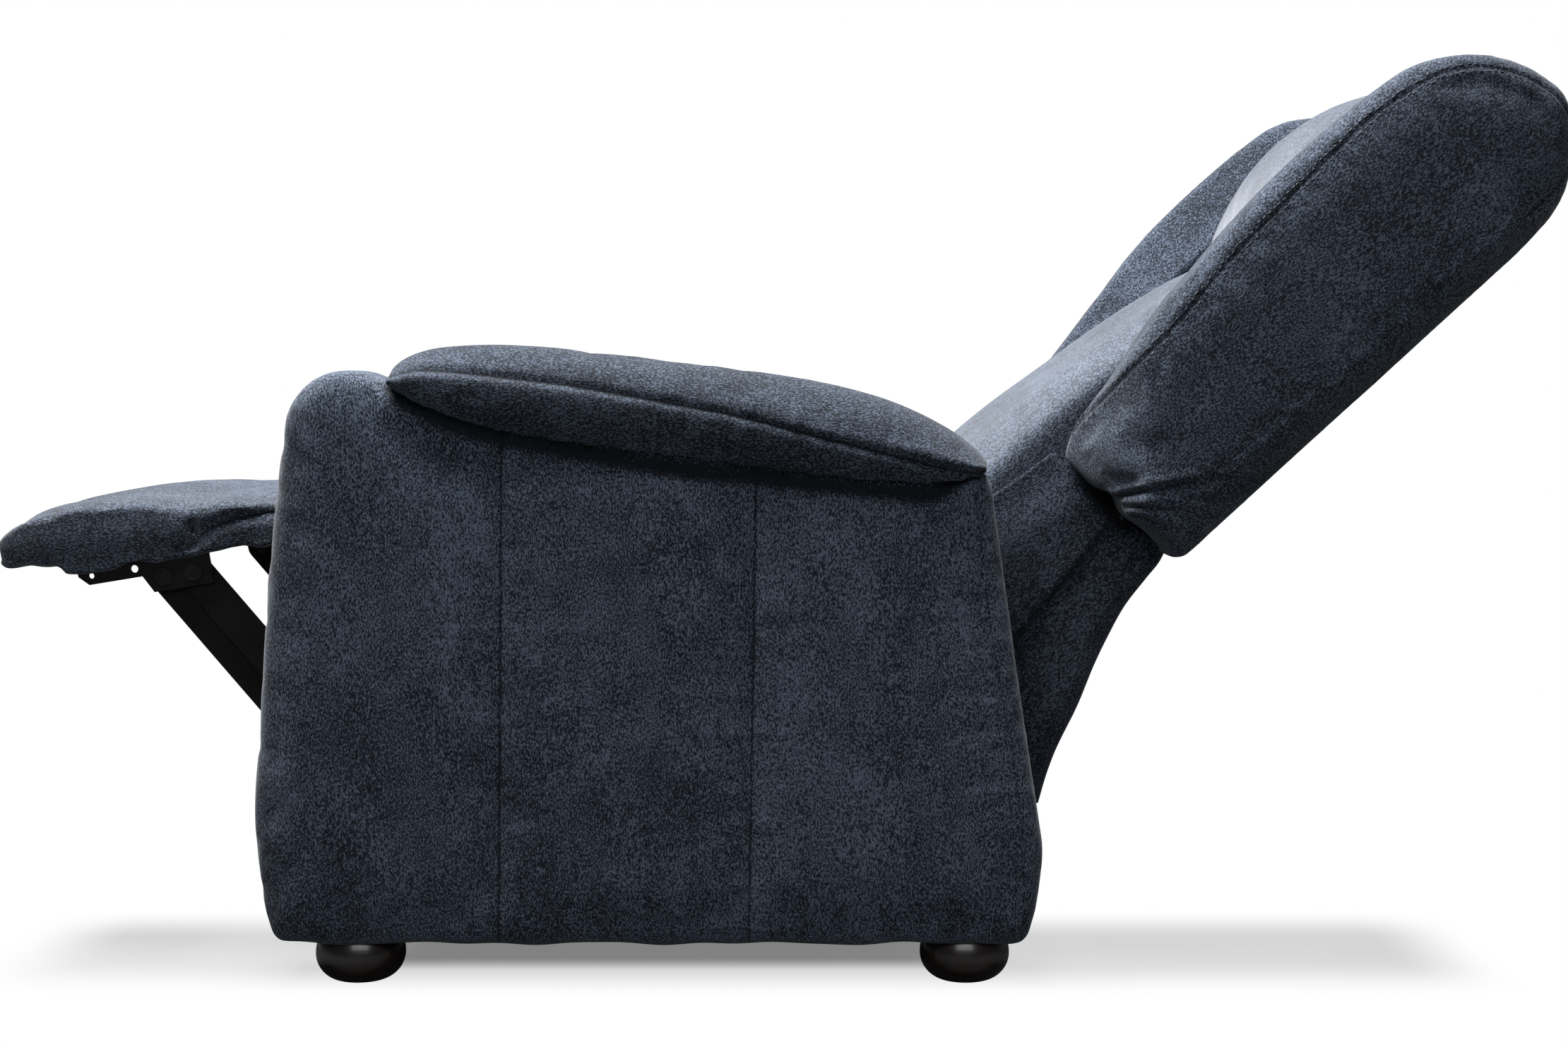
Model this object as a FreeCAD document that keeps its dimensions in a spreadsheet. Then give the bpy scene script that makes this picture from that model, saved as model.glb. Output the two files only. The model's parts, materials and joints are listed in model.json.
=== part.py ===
import FreeCAD, Part
import math
import os
import re
import Sketcher

# A push-back reclining armchair with a fold-out footrest, in millimetres.
# It is drawn reclined with the footrest out. It faces -Y, +X is the sitter's left and the floor is z = 0.

Vector = FreeCAD.Vector
X_AXIS = Vector(1, 0, 0)

SIZES = {
    # Arms
    "chair_front": -504.5,
    "arm_length": 772,
    "arm_inner": 268,
    "arm_thick": 112,
    "arm_hem": 52,
    "arm_nose_height": 549,
    "arm_slope_height": 600,
    "arm_rear_height": 512,
    "arm_rear_lean": 52,
    "arm_nose_length": 126,
    "arm_heel_swell": 4,
    "arm_nose_swell": 35,
    "arm_front_swell": 5,
    "arm_toe_swell": 11,
    "arm_toe_setback": 16,
    "arm_front_reach": 6,
    "arm_heel_setback": 18,
    "arm_heel_height": 90,
    "arm_nose_setback": 23,
    "arm_belly_height": 186,
    "arm_corner": 12,
    "arm_edge_out": 20,
    "arm_edge_in": 10,
    "frame_board": 18,
    "frame_margin": 45,
    "frame_fit": 0.5,
    "frame_foot_trim": 8,
    "frame_rear_trim": 33,
    "frame_rear_drop": 42,
    "frame_top_drop": 45,
    "frame_nose_trim": 4,
    "cavity_open": 5,
    "window_margin": 90,
    "window_rear_margin": 120,
    "window_sill": 110,
    "window_post": 45,
    "window_head": 60,
    "window_step": 20,
    "batten_margin": 30,
    "batten_width": 76,
    "batten_height": 32,
    "pad_overhang": 15,
    "pad_fit": 0.5,
    "pad_crown": 45,
    "pad_end": 4,
    "pad_inner_lap": 2,
    "pad_seam_share": 0.3,
    "pad_hang_swell": 1.5,
    "pad_hang_share": 0.1,
    # Feet
    "foot_height": 58,
    "foot_width": 90,
    "foot_flat": 44,
    "foot_neck": 60,
    "foot_belly": 27,
    "front_foot": 90,
    "rear_foot": 73,
    # Rails across the chassis
    "rail_thick": 22,
    "rail_bottom": 62,
    "front_rail_setback": 109,
    "front_rail_height": 54,
    "rear_rail_setback": 716,
    "rear_rail_height": 84,
    "bracket_leg": 40,
    "bracket_low": 6,
    "bracket_high": 46,
    # Mechanism plates and pins
    "plate_thick": 4,
    "layer_gap": 2,
    "link_round": 18,
    "pin_radius": 5,
    "pivot_clearance": 0.08,
    "head_radius": 9,
    "head_thick": 1.6,
    "tube_radius": 11,
    "tube_wall": 2,
    "link_tube_hole": 6,
    "screw_head_thick": 2,
    # Seat carried on four links
    "base_pivot_height": 200,
    "front_pivot": 309,
    "pivot_spacing": 320,
    "seat_link_length": 100,
    "seat_travel": 50,
    "base_rail_round": 25,
    "base_rail_end": 65,
    "seat_rail_top": 340,
    "seat_rail_drop": 60,
    "seat_rail_round": 6,
    "rail_shelf": 62,
    "rail_shelf_foot": 92,
    "rail_eye_long": 26,
    "rail_eye_short": 20,
    "rail_rise": 40,
    "seat_bar_width": 35,
    "seat_bar_height": 16,
    "front_bar": 69,
    "rear_bar": 619,
    "strap_width": 50,
    "strap_thick": 2.5,
    "strap_pitch": 95,
    "seat_half_width": 257,
    "seat_front": 39,
    "seat_back": 598,
    "deck_length": 100,
    "deck_thick": 14,
    "deck_half": 240,
    "deck_gap": 0.6,
    "deck_edge": 4,
    "seat_edge": 112,
    "seat_crown": 30,
    "seat_side_swell": 5,
    # Back hinged on the seat rails
    "hinge_setback": 754,
    "hinge_height": 360,
    "back_slope": 42.6,
    "back_rear": 58,
    "hinge_eye": 15,
    "frame_depth": 32,
    "frame_upright": 40,
    "frame_low": 40,
    "frame_top": 640,
    "bar_gap": 6,
    "plate_inset": 1,
    "plate_heel": 5,
    "plate_toe": 20,
    "plate_run": 215,
    "plate_screw_low": 100,
    "plate_screw_high": 180,
    "plate_round": 6,
    "sunk_head": 0.4,
    "panel_thick": 7.7,
    "panel_low": 152,
    "panel_top": 640,
    "wing_low": 148,
    "wing_thick": 94,
    "wing_depth": 205,
    "wing_shoulder": 660,
    "wing_crest": -20,
    "wing_brow": 655,
    "wing_waist": 360,
    "wing_toe": -95,
    "wing_rear_swell": 17,
    "wing_top_swell": 25,
    "wing_front_swell": 12,
    "wing_waist_swell": 2,
    "back_top": 752,
    "wing_edge": 24,
    "wing_corner": 12,
    "wing_shoulder_round": 50,
    "wing_gap": 0.6,
    "wing_waist_trim": 4,
    "wing_toe_cut": 24,
    "wing_toe_thick": 14,
    "wing_bag": 20,
    "wing_taper_top": 290,
    "wing_taper_round": 14,
    "wing_face_start": -96,
    "wing_face_cut": 40,
    "channel_height": 420,
    "channel_half": 4,
    "lumbar_crown": 155,
    "lumbar_crown_height": 86,
    "lumbar_heel": 136,
    "lumbar_swell": 12,
    "lumbar_heel_swell": 7,
    "lumbar_eye_room": 25,
    "lumbar_foot_rise": 80,
    "cushion_gap": 0.2,
    "cushion_foot": -4,
    "channel_depth": 104,
    "head_crown": 140,
    "head_swell": 18,
    "head_top_swell": 24,
    "head_fit": 1,
    "head_rear_trim": 3,
    "head_top_trim": 5,
    "head_brow_drop": 8,
    "soft_fit": 0.4,
    # Loose flap behind the seat
    "flap_hem": 165,
    "flap_tail": 26,
    "flap_reach": 36,
    "flap_sag": 10,
    "flap_thick": 3.5,
    "flap_margin": 5,
    "flap_sewn_gap": 0.3,
    "flap_inset": 1,
    "flap_knee_drop": 6,
    # Footrest linkage
    "swing_pivot": 178,
    "swing_pivot_height": 315,
    "footrest_reach": 92,
    "footrest_height": 405,
    "footrest_tilt": 9.3,
    "link_length": 240,
    "link_slope": 49.7,
    "link_offset": 30.5,
    "swing_tube_run": 45,
    "bracket_front": 118,
    "bracket_tail": 19,
    "bracket_nose": 12.5,
    "bracket_nose_top": 22,
    "bracket_belly": 14,
    "bracket_nose_height": -4,
    "bracket_chin": 10,
    "small_hole": 3,
    "small_hole_in": 13.5,
    "large_hole": 4,
    "large_hole_in": 58.5,
    "spare_hole_height": 13,
    "bracket_flange": 4,
    "flange_width": 20,
    "flange_height": 18,
    "board_thick": 12,
    "board_front": 130,
    "board_tail": 96,
    "board_half": 240,
    "board_lip": 10,
    "board_gap": 0.3,
    "board_screw_front": 40,
    "board_screw_rear": 12,
    "board_screw_in": 13,
    "footpad_front": 197,
    "footpad_tail": 112,
    "footpad_half": 254,
    "footpad_top": 88,
    "footpad_side_swell": 4,
    "footpad_gap": 0.5,
    "footpad_pinch": 8,
    "screw_radius": 3,
    "screw_head": 6,
}

doc = FreeCAD.newDocument("armchair")
sheet = doc.addObject("Spreadsheet::Sheet", "Sizes")
for row, (alias, number) in enumerate(SIZES.items(), start=1):
    sheet.set("A%d" % row, alias)
    sheet.set("B%d" % row, str(number))
    sheet.setAlias("B%d" % row, alias)
doc.recompute()

nodes = {}


# Sizes and expressions

def qualified(text):
    """The expression with every size written as a cell of the sheet."""
    return re.sub(r"[a-z_]+", lambda word: "Sizes." + word.group() if word.group() in SIZES else word.group(),
                  str(text))


def value(text):
    """The number an expression of sizes comes to."""
    return float(sheet.evalExpression(qualified(text)))


def bind(target, prop, text):
    """Tie a property to an expression of sizes."""
    target.setExpression(prop, qualified(text))


def layer(index):
    """Inner face of one of the plate layers, counted inwards from the arm."""
    return "arm_inner - plate_thick - %d * (plate_thick + layer_gap)" % index


def turned(point, degrees):
    """A (y, z) pair turned about X."""
    angle = math.radians(degrees)
    across, up = point
    return (across * math.cos(angle) - up * math.sin(angle), across * math.sin(angle) + up * math.cos(angle))


def shifted(point, by):
    return (point[0] + by[0], point[1] + by[1])


def place(target, depth, point, degrees=0):
    """Put an object at x, y, z and turn it about X; x stays tied to its expression."""
    target.Placement = FreeCAD.Placement(Vector(value(depth), point[0], point[1]),
                                         FreeCAD.Rotation(X_AXIS, degrees))
    bind(target, "Placement.Base.x", depth)


# Sketches and bodies

def new_body(label):
    return doc.addObject("PartDesign::Body", label)


def new_sketch(body, label, offset=0):
    """A sketch on the body's side plane: its own x runs along Y and its y along Z."""
    sketch = body.newObject("Sketcher::SketchObject", label)
    plane = [item for item in body.Origin.OriginFeatures if item.Role == "YZ_Plane"][0]
    sketch.AttachmentSupport = [(plane, "")]
    sketch.MapMode = "FlatFace"
    sketch.AttachmentOffset = FreeCAD.Placement(Vector(0, 0, value(offset)), FreeCAD.Rotation())
    bind(sketch, "AttachmentOffset.Base.z", offset)
    return sketch


def pin_point(sketch, index, spot, across, up):
    """Hold one point of the sketch at two expressions."""
    for kind, text in (("DistanceX", across), ("DistanceY", up)):
        rule = sketch.addConstraint(Sketcher.Constraint(kind, -1, 1, index, spot, value(text)))
        bind(sketch, "Constraints[%d]" % rule, text)


def outline(sketch, corners, bulges=None):
    """A closed outline through corners given as expressions; a bulge bends one side outwards into an arc."""
    bulges = bulges or {}
    points = [Vector(value(across), value(up), 0) for across, up in corners]
    count = len(points)
    ends = []
    for index, start in enumerate(points):
        end = points[(index + 1) % count]
        if index in bulges:
            chord = end - start
            outward = Vector(chord.y, -chord.x, 0).normalize()
            middle = (start + end) * 0.5 + outward * value(bulges[index])
            made = sketch.addGeometry(Part.ArcOfCircle(start, middle, end))
        else:
            made = sketch.addGeometry(Part.LineSegment(start, end))
        straight = sketch.Geometry[made].StartPoint.distanceToPoint(start) < 1e-6
        ends.append((made, 1, 2) if straight else (made, 2, 1))
    for index in range(count):
        this, following = ends[index], ends[(index + 1) % count]
        sketch.addConstraint(Sketcher.Constraint("Coincident", this[0], this[2], following[0], following[1]))
    for (made, first, last), (across, up) in zip(ends, corners):
        pin_point(sketch, made, first, across, up)


def rounded(sketch, centres, radius):
    """A rounded plate outline around convex centres, given anticlockwise as expressions."""
    points = [Vector(value(across), value(up), 0) for across, up in centres]
    count = len(points)
    reach = value(radius)
    steps = [points[(index + 1) % count] - points[index] for index in range(count)]
    headings = [math.atan2(step.y, step.x) - math.pi / 2 for step in steps]
    arcs = []
    for index, point in enumerate(points):
        first = headings[index - 1]
        last = headings[index]
        while last < first:
            last += 2 * math.pi
        circle = Part.Circle(point, Vector(0, 0, 1), reach)
        arcs.append(sketch.addGeometry(Part.ArcOfCircle(circle, first, last)))
    for index in range(count):
        side = Vector(math.cos(headings[index]), math.sin(headings[index]), 0) * reach
        line = sketch.addGeometry(Part.LineSegment(points[index] + side, points[(index + 1) % count] + side))
        sketch.addConstraint(Sketcher.Constraint("Tangent", arcs[index], 2, line, 1))
        sketch.addConstraint(Sketcher.Constraint("Tangent", line, 2, arcs[(index + 1) % count], 1))
    rule = sketch.addConstraint(Sketcher.Constraint("Radius", arcs[0], reach))
    bind(sketch, "Constraints[%d]" % rule, radius)
    for arc in arcs[1:]:
        sketch.addConstraint(Sketcher.Constraint("Equal", arcs[0], arc))
    for arc, (across, up) in zip(arcs, centres):
        pin_point(sketch, arc, 3, across, up)


def add_hole(sketch, across, up, radius):
    """A round hole in the sketch."""
    middle = Vector(value(across), value(up), 0)
    circle = sketch.addGeometry(Part.Circle(middle, Vector(0, 0, 1), value(radius)))
    rule = sketch.addConstraint(Sketcher.Constraint("Radius", circle, value(radius)))
    bind(sketch, "Constraints[%d]" % rule, radius)
    pin_point(sketch, circle, 3, across, up)


def pad(body, sketch, length, backwards=False):
    made = body.newObject("PartDesign::Pad", sketch.Name + "_pad")
    made.Profile = sketch
    made.Reversed = backwards
    bind(made, "Length", length)
    sketch.Visibility = False
    doc.recompute()
    return made


def pocket(body, sketch, length):
    """Cut from the sketch towards +X; the cut has to remove material."""
    before = body.Shape.Volume
    made = body.newObject("PartDesign::Pocket", sketch.Name + "_cut")
    made.Profile = sketch
    made.Reversed = True
    bind(made, "Length", length)
    doc.recompute()
    if not made.Shape.Volume < before - 1:
        raise ValueError("no material cut by " + sketch.Name)
    return made


def fillet(body, base, radius, chosen):
    made = body.newObject("PartDesign::Fillet", base.Name + "_round")
    names = ["Edge%d" % (index + 1) for index, edge in enumerate(base.Shape.Edges) if chosen(edge)]
    made.Base = (base, names)
    bind(made, "Radius", radius)
    doc.recompute()
    return made


def runs_along_x(edge):
    first, last = edge.Vertexes[0].Point, edge.Vertexes[-1].Point
    return abs(first.y - last.y) < 1e-6 and abs(first.z - last.z) < 1e-6 and abs(first.x - last.x) > 1e-6


def lies_at_x(depth):
    """Choose the edges that lie in one side plane."""
    return lambda edge: abs(edge.BoundBox.XMin - depth) < 1e-4 and abs(edge.BoundBox.XMax - depth) < 1e-4


# Left and right pairs, and groups

def mirrored(source, label):
    made = doc.addObject("Part::Mirroring", label)
    made.Source = source
    made.Normal = X_AXIS
    return made


def pair(source, name):
    """Keep a left-hand object and its mirror image as two parts."""
    nodes["left_" + name] = source
    nodes["right_" + name] = mirrored(source, "right_" + name)


def group(name, items):
    """Keep several solids as one part."""
    made = doc.addObject("Part::Compound", name)
    made.Links = items
    nodes[name] = made


def both_sides(items):
    return items + [mirrored(item, item.Name + "_mirror") for item in items]


def plate(name, centres, radius, holes, depth, point, degrees=0):
    """A flat steel plate with round corners and pivot holes, left and right."""
    body = new_body("left_" + name)
    sketch = new_sketch(body, name + "_outline")
    rounded(sketch, centres, radius)
    for across, up, hole in holes:
        add_hole(sketch, across, up, hole)
    pad(body, sketch, "plate_thick")
    place(body, depth, point, degrees)
    pair(body, name)


def rod(name, low, high, radius, point):
    """A round rod along X between two expressions."""
    made = doc.addObject("Part::Cylinder", name)
    bind(made, "Radius", radius)
    bind(made, "Height", "(%s) - (%s)" % (high, low))
    made.Placement = FreeCAD.Placement(Vector(value(low), point[0], point[1]),
                                       FreeCAD.Rotation(Vector(0, 1, 0), 90))
    bind(made, "Placement.Base.x", low)
    return made


def fused(name, items):
    made = doc.addObject("Part::MultiFuse", name)
    made.Shapes = items
    return made


def rivet(name, low, high, point, outer_head=True):
    """A headed pin along X through the plates between two expressions, on the left side."""
    items = [rod(name + "_shank", low, high, "pin_radius", point),
             rod(name + "_inner_head", "(%s) - head_thick" % low, low, "head_radius", point)]
    if outer_head:
        items.append(rod(name + "_outer_head", high, "(%s) + head_thick" % high, "head_radius", point))
    return fused(name, items)


def tube(name, half, radius, point):
    """A round tube along X, the same length to both sides."""
    made = doc.addObject("Part::Cut", name)
    made.Base = rod(name + "_outside", "-(%s)" % half, half, radius, point)
    made.Tool = rod(name + "_inside", "-(%s) - 1" % half, "(%s) + 1" % half, "%s - tube_wall" % radius, point)
    nodes[name] = made


def box(name, lows, highs):
    """A block between two corners given as expressions."""
    made = doc.addObject("Part::Box", name)
    for prop, axis, low, high in zip(("Length", "Width", "Height"), "xyz", lows, highs):
        bind(made, prop, "(%s) - (%s)" % (high, low))
        bind(made, "Placement.Base." + axis, low)
    return made


# Soft forms

def soft_wire(corners, bulges, to_space):
    """A closed section through corners, with bulged sides, carried into space."""
    edges = []
    count = len(corners)
    for index, start in enumerate(corners):
        end = corners[(index + 1) % count]
        bulge = bulges.get(index, 0)
        if bulge:
            run = (end[0] - start[0], end[1] - start[1])
            length = math.hypot(run[0], run[1])
            middle = ((start[0] + end[0]) / 2 + run[1] / length * bulge,
                      (start[1] + end[1]) / 2 - run[0] / length * bulge)
            edges.append(Part.Arc(to_space(start), to_space(middle), to_space(end)).toShape())
        else:
            edges.append(Part.LineSegment(to_space(start), to_space(end)).toShape())
    return Part.Wire(edges)


def loft(name, wires):
    """A padded form lofted through its sections."""
    made = doc.addObject("Part::Feature", name)
    shape = Part.makeLoft(wires, True, False, False, 3)
    if shape.Volume < 0:
        shape.reverse()
    made.Shape = shape
    return made


# Pivots worked out from the sizes

front_y = value("chair_front")
half_travel = value("seat_travel") / 2
link_rise = math.sqrt(value("seat_link_length") ** 2 - half_travel ** 2)
link_lean = math.degrees(math.atan2(link_rise, -half_travel))
base_front = (front_y + value("front_pivot"), value("base_pivot_height"))
base_rear = shifted(base_front, (value("pivot_spacing"), 0))
seat_front_pivot = shifted(base_front, (-half_travel, link_rise))
seat_rear_pivot = shifted(base_rear, (-half_travel, link_rise))
hinge = (front_y + value("hinge_setback"), value("hinge_height"))
back_turn = value("back_slope") - 90

swing_pivot = (front_y + value("swing_pivot"), value("swing_pivot_height"))
footrest_tilt = value("footrest_tilt")
link_turn = 180 - value("link_slope")
upper_rear = (front_y - value("footrest_reach"), value("footrest_height"))
offset = turned((-value("link_offset"), 0), footrest_tilt)
upper_front = shifted(upper_rear, offset)
lower_rear = shifted(upper_rear, turned((-value("link_length"), 0), link_turn))
lower_front = shifted(lower_rear, offset)

pivot_hole = "pin_radius + pivot_clearance"


# Arms on the chassis

def frame_corners(grow, floor):
    """The plywood board inside an arm, grown all round by a fit."""
    return [("frame_margin - %s" % grow, floor),
            ("arm_length - frame_margin - frame_foot_trim + 3 * %s" % grow, floor),
            ("arm_length - frame_margin - frame_rear_trim + %s" % grow,
             "arm_rear_height - frame_rear_drop + 2 * %s" % grow),
            ("arm_nose_length + frame_nose_trim", "arm_slope_height - frame_top_drop + 2 * %s" % grow),
            ("frame_margin - %s" % grow, "arm_nose_height - frame_top_drop + 2 * %s" % grow)]


def batten_corners(grow, floor):
    return [("frame_margin - %s" % grow, floor),
            ("arm_length - batten_margin + %s" % grow, floor),
            ("arm_length - batten_margin + %s" % grow, "foot_height + batten_height + %s" % grow),
            ("frame_margin - %s" % grow, "foot_height + batten_height + %s" % grow)]


board_face = "(arm_thick - frame_board) / 2"
batten_face = "(arm_thick - batten_width) / 2"

arm_frame = new_body("left_arm_frame")
board = new_sketch(arm_frame, "arm_board", board_face)
outline(board, frame_corners("0", "foot_height"))
pad(arm_frame, board, "frame_board")
batten = new_sketch(arm_frame, "arm_batten", batten_face)
outline(batten, batten_corners("0", "foot_height"))
pad(arm_frame, batten, "batten_width")
windows = new_sketch(arm_frame, "arm_windows", board_face)
outline(windows, [("frame_margin + window_margin", "foot_height + window_sill"),
                  ("arm_length / 2 - window_post", "foot_height + window_sill"),
                  ("arm_length / 2 - window_post", "arm_rear_height - window_head - window_step"),
                  ("frame_margin + window_margin", "arm_rear_height - window_head")])
outline(windows, [("arm_length / 2 + window_post", "foot_height + window_sill"),
                  ("arm_length - frame_margin - window_rear_margin", "foot_height + window_sill"),
                  ("arm_length - frame_margin - window_rear_margin",
                   "arm_rear_height - window_head - 3 * window_step"),
                  ("arm_length / 2 + window_post", "arm_rear_height - window_head - 2 * window_step")])
pocket(arm_frame, windows, "frame_board")
place(arm_frame, "arm_inner", (front_y, 0))
pair(arm_frame, "arm_frame")

arm_cover = new_body("left_arm_cover")
arm_side = new_sketch(arm_cover, "arm_side")
outline(arm_side,
        [("arm_toe_setback", "arm_hem"),
         ("arm_length - arm_heel_setback", "arm_hem"),
         ("arm_length", "arm_hem + arm_heel_height"),
         ("arm_length - arm_rear_lean", "arm_rear_height"),
         ("arm_nose_length", "arm_slope_height"),
         ("arm_nose_setback", "arm_nose_height"),
         ("-arm_front_reach", "arm_hem + arm_belly_height")],
        {1: "arm_heel_swell", 4: "arm_nose_swell", 5: "arm_front_swell", 6: "arm_toe_swell"})
arm_block = pad(arm_cover, arm_side, "arm_thick")
arm_soft = fillet(arm_cover, arm_block, "arm_corner", runs_along_x)
arm_soft = fillet(arm_cover, arm_soft, "arm_edge_out", lies_at_x(value("arm_thick")))
arm_soft = fillet(arm_cover, arm_soft, "arm_edge_in", lies_at_x(0))
board_room = new_sketch(arm_cover, "board_room", board_face + " - frame_fit")
outline(board_room, frame_corners("frame_fit", "arm_hem - cavity_open"))
pocket(arm_cover, board_room, "frame_board + 2 * frame_fit")
batten_room = new_sketch(arm_cover, "batten_room", batten_face + " - frame_fit")
outline(batten_room, batten_corners("frame_fit", "arm_hem - cavity_open"))
pocket(arm_cover, batten_room, "batten_width + 2 * frame_fit")
place(arm_cover, "arm_inner", (front_y, 0))
pair(arm_cover, "arm_cover")


def arm_pad_section(share, rise, drop):
    """One section of the pillow top: its crown rises over the arm and a flap hangs down the outer side."""
    start, stop = value("arm_nose_length"), value("arm_length - arm_rear_lean - pad_end")
    along = start + (stop - start) * share
    fall = value("arm_rear_height - arm_slope_height")
    slope = fall / (value("arm_length - arm_rear_lean") - start)
    seat = value("arm_slope_height") + slope * (along - start) + value("pad_fit")
    inner = value("arm_inner - pad_inner_lap")
    face = value("arm_inner + arm_thick + pad_fit")
    outer = value("arm_inner + arm_thick + pad_overhang")
    seam = seat + rise * value("pad_seam_share")
    corners = [(inner, seat), (face, seat), (face, seat - drop), (outer, seam), (inner, seam)]
    bulges = {2: value("pad_hang_swell") + drop * value("pad_hang_share"), 3: rise}
    return soft_wire(corners, bulges, lambda spot: Vector(spot[0], front_y + along, spot[1]))


crown = value("pad_crown")
pad_shape = [(0, 0.16, 2), (0.06, 0.62, 22), (0.2, 0.9, 38), (0.42, 1.02, 38), (0.62, 1.06, 36),
             (0.78, 1.0, 34), (0.92, 0.66, 24), (1.0, 0.2, 3)]
arm_pad_rows = [arm_pad_section(share, crown * rise, drop) for share, rise, drop in pad_shape]
pair(loft("left_arm_pad", arm_pad_rows), "arm_pad")


# Bun feet

def upright_bulge(run, rise):
    """How far an arc swells over its chord when it ends upright."""
    across, up = value(run), value(rise)
    radius = (across ** 2 + up ** 2) / (2 * across)
    return radius - math.sqrt(radius ** 2 - (across ** 2 + up ** 2) / 4)


def bun_foot(name, side, along):
    """A turned foot: flat underside, round belly and a narrower neck."""
    body = new_body(name)
    sketch = body.newObject("Sketcher::SketchObject", name + "_profile")
    plane = [item for item in body.Origin.OriginFeatures if item.Role == "XZ_Plane"][0]
    sketch.AttachmentSupport = [(plane, "")]
    sketch.MapMode = "FlatFace"
    outline(sketch,
            [("0", "0"), ("foot_flat / 2", "0"), ("foot_width / 2", "foot_belly"),
             ("foot_neck / 2", "foot_height"), ("0", "foot_height")],
            {1: upright_bulge("(foot_width - foot_flat) / 2", "foot_belly"),
             2: upright_bulge("(foot_width - foot_neck) / 2", "foot_height - foot_belly")})
    turning = body.newObject("PartDesign::Revolution", name + "_turning")
    turning.Profile = sketch
    turning.ReferenceAxis = (sketch, ["V_Axis"])
    turning.Angle = 360
    body.Placement.Base = Vector(side * value("arm_inner + arm_thick / 2"), front_y + value(along), 0)
    doc.recompute()
    nodes[name] = body


for name, side, along in (("front_left_foot", 1, "front_foot"), ("front_right_foot", -1, "front_foot"),
                          ("rear_left_foot", 1, "arm_length - rear_foot"),
                          ("rear_right_foot", -1, "arm_length - rear_foot")):
    bun_foot(name, side, along)


# Rails across the chassis

nodes["front_rail"] = box("front_rail",
                          ("-arm_inner", "chair_front + front_rail_setback", "rail_bottom"),
                          ("arm_inner", "chair_front + front_rail_setback + rail_thick",
                           "rail_bottom + front_rail_height"))
nodes["rear_rail"] = box("rear_rail",
                         ("-arm_inner", "chair_front + rear_rail_setback", "rail_bottom"),
                         ("arm_inner", "chair_front + rear_rail_setback + rail_thick",
                          "rail_bottom + rear_rail_height"))


def corner_bracket(name, face, outward):
    """A steel angle in the corner of a rail and the arm; outward is the side the rail's face looks to."""
    near, far = ("%s" % face, "%s + bracket_leg" % face) if outward > 0 else ("%s - bracket_leg" % face, face)
    web = ("%s" % face, "%s + plate_thick" % face) if outward > 0 else ("%s - plate_thick" % face, face)
    leg = box(name + "_leg", ("arm_inner - plate_thick", near, "rail_bottom + bracket_low"),
              ("arm_inner", far, "rail_bottom + bracket_high"))
    foot = box(name + "_foot", ("arm_inner - bracket_leg", web[0], "rail_bottom + bracket_low"),
               ("arm_inner", web[1], "rail_bottom + bracket_high"))
    return fused(name, [leg, foot])


group("corner_brackets",
      both_sides([corner_bracket("front_corner", "(chair_front + front_rail_setback + rail_thick)", 1),
                  corner_bracket("rear_corner", "(chair_front + rear_rail_setback)", -1)]))


# Seat carried on four links

base_rail_low = "-base_rail_end"
base_rail_high = "pivot_spacing + base_rail_end"
plate("base_rail", [(base_rail_low, "0"), (base_rail_high, "0")], "base_rail_round",
      [("0", "0", "pin_radius"), ("pivot_spacing", "0", "pin_radius"),
       (base_rail_low, "0", "screw_radius"), (base_rail_high, "0", "screw_radius")],
      layer(0), base_front)
for name, pivot in (("front_seat_link", base_front), ("rear_seat_link", base_rear)):
    plate(name, [("0", "0"), ("seat_link_length", "0")], "link_round",
          [("0", "0", pivot_hole), ("seat_link_length", "0", pivot_hole),
           ("seat_link_length / 2", "0", "link_tube_hole")],
          layer(1), pivot, link_lean)
    middle = shifted(pivot, (-half_travel / 2, link_rise / 2))
    tube(name.replace("seat_link", "link_tube"), layer(1), "tube_radius", middle)

group("base_pivot_pins",
      both_sides([rivet(name, layer(1), layer(0) + " + plate_thick", pivot, False)
                  for name, pivot in (("front_base_pin", base_front), ("rear_base_pin", base_rear))]))
screw_spots = [shifted(base_front, (-value("base_rail_end"), 0)),
               shifted(base_rear, (value("base_rail_end"), 0))]
group("base_rail_screws",
      both_sides([fused("base_screw_%d" % index,
                        [rod("base_screw_shank_%d" % index, layer(0), "arm_inner", "screw_radius", spot),
                         rod("base_screw_head_%d" % index, layer(0) + " - screw_head_thick", layer(0),
                             "screw_head", spot)])
                  for index, spot in enumerate(screw_spots)]))

seat_rail = new_body("left_seat_rail")
rail_side = new_sketch(seat_rail, "seat_rail_side")
rail_foot = "seat_rail_top - seat_rail_drop"
outline(rail_side,
        [("front_bar", "seat_rail_top - seat_bar_height"),
         ("front_bar + rail_shelf", "seat_rail_top - seat_bar_height"),
         ("front_bar + rail_shelf_foot", rail_foot),
         ("rear_bar + rail_eye_short", rail_foot),
         ("hinge_setback + rail_eye_short", "hinge_height - rail_eye_long"),
         ("hinge_setback + rail_eye_long", "hinge_height + rail_eye_short"),
         ("hinge_setback - rail_eye_short", "hinge_height + rail_eye_long"),
         ("rear_bar + rail_rise", "seat_rail_top"),
         ("front_bar", "seat_rail_top")])
for spot in (seat_front_pivot, seat_rear_pivot, swing_pivot, hinge):
    add_hole(rail_side, str(spot[0] - front_y), str(spot[1]), pivot_hole)
rail_plate = pad(seat_rail, rail_side, "plate_thick")
fillet(seat_rail, rail_plate, "seat_rail_round", runs_along_x)
place(seat_rail, layer(2), (front_y, 0))
pair(seat_rail, "seat_rail")

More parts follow.
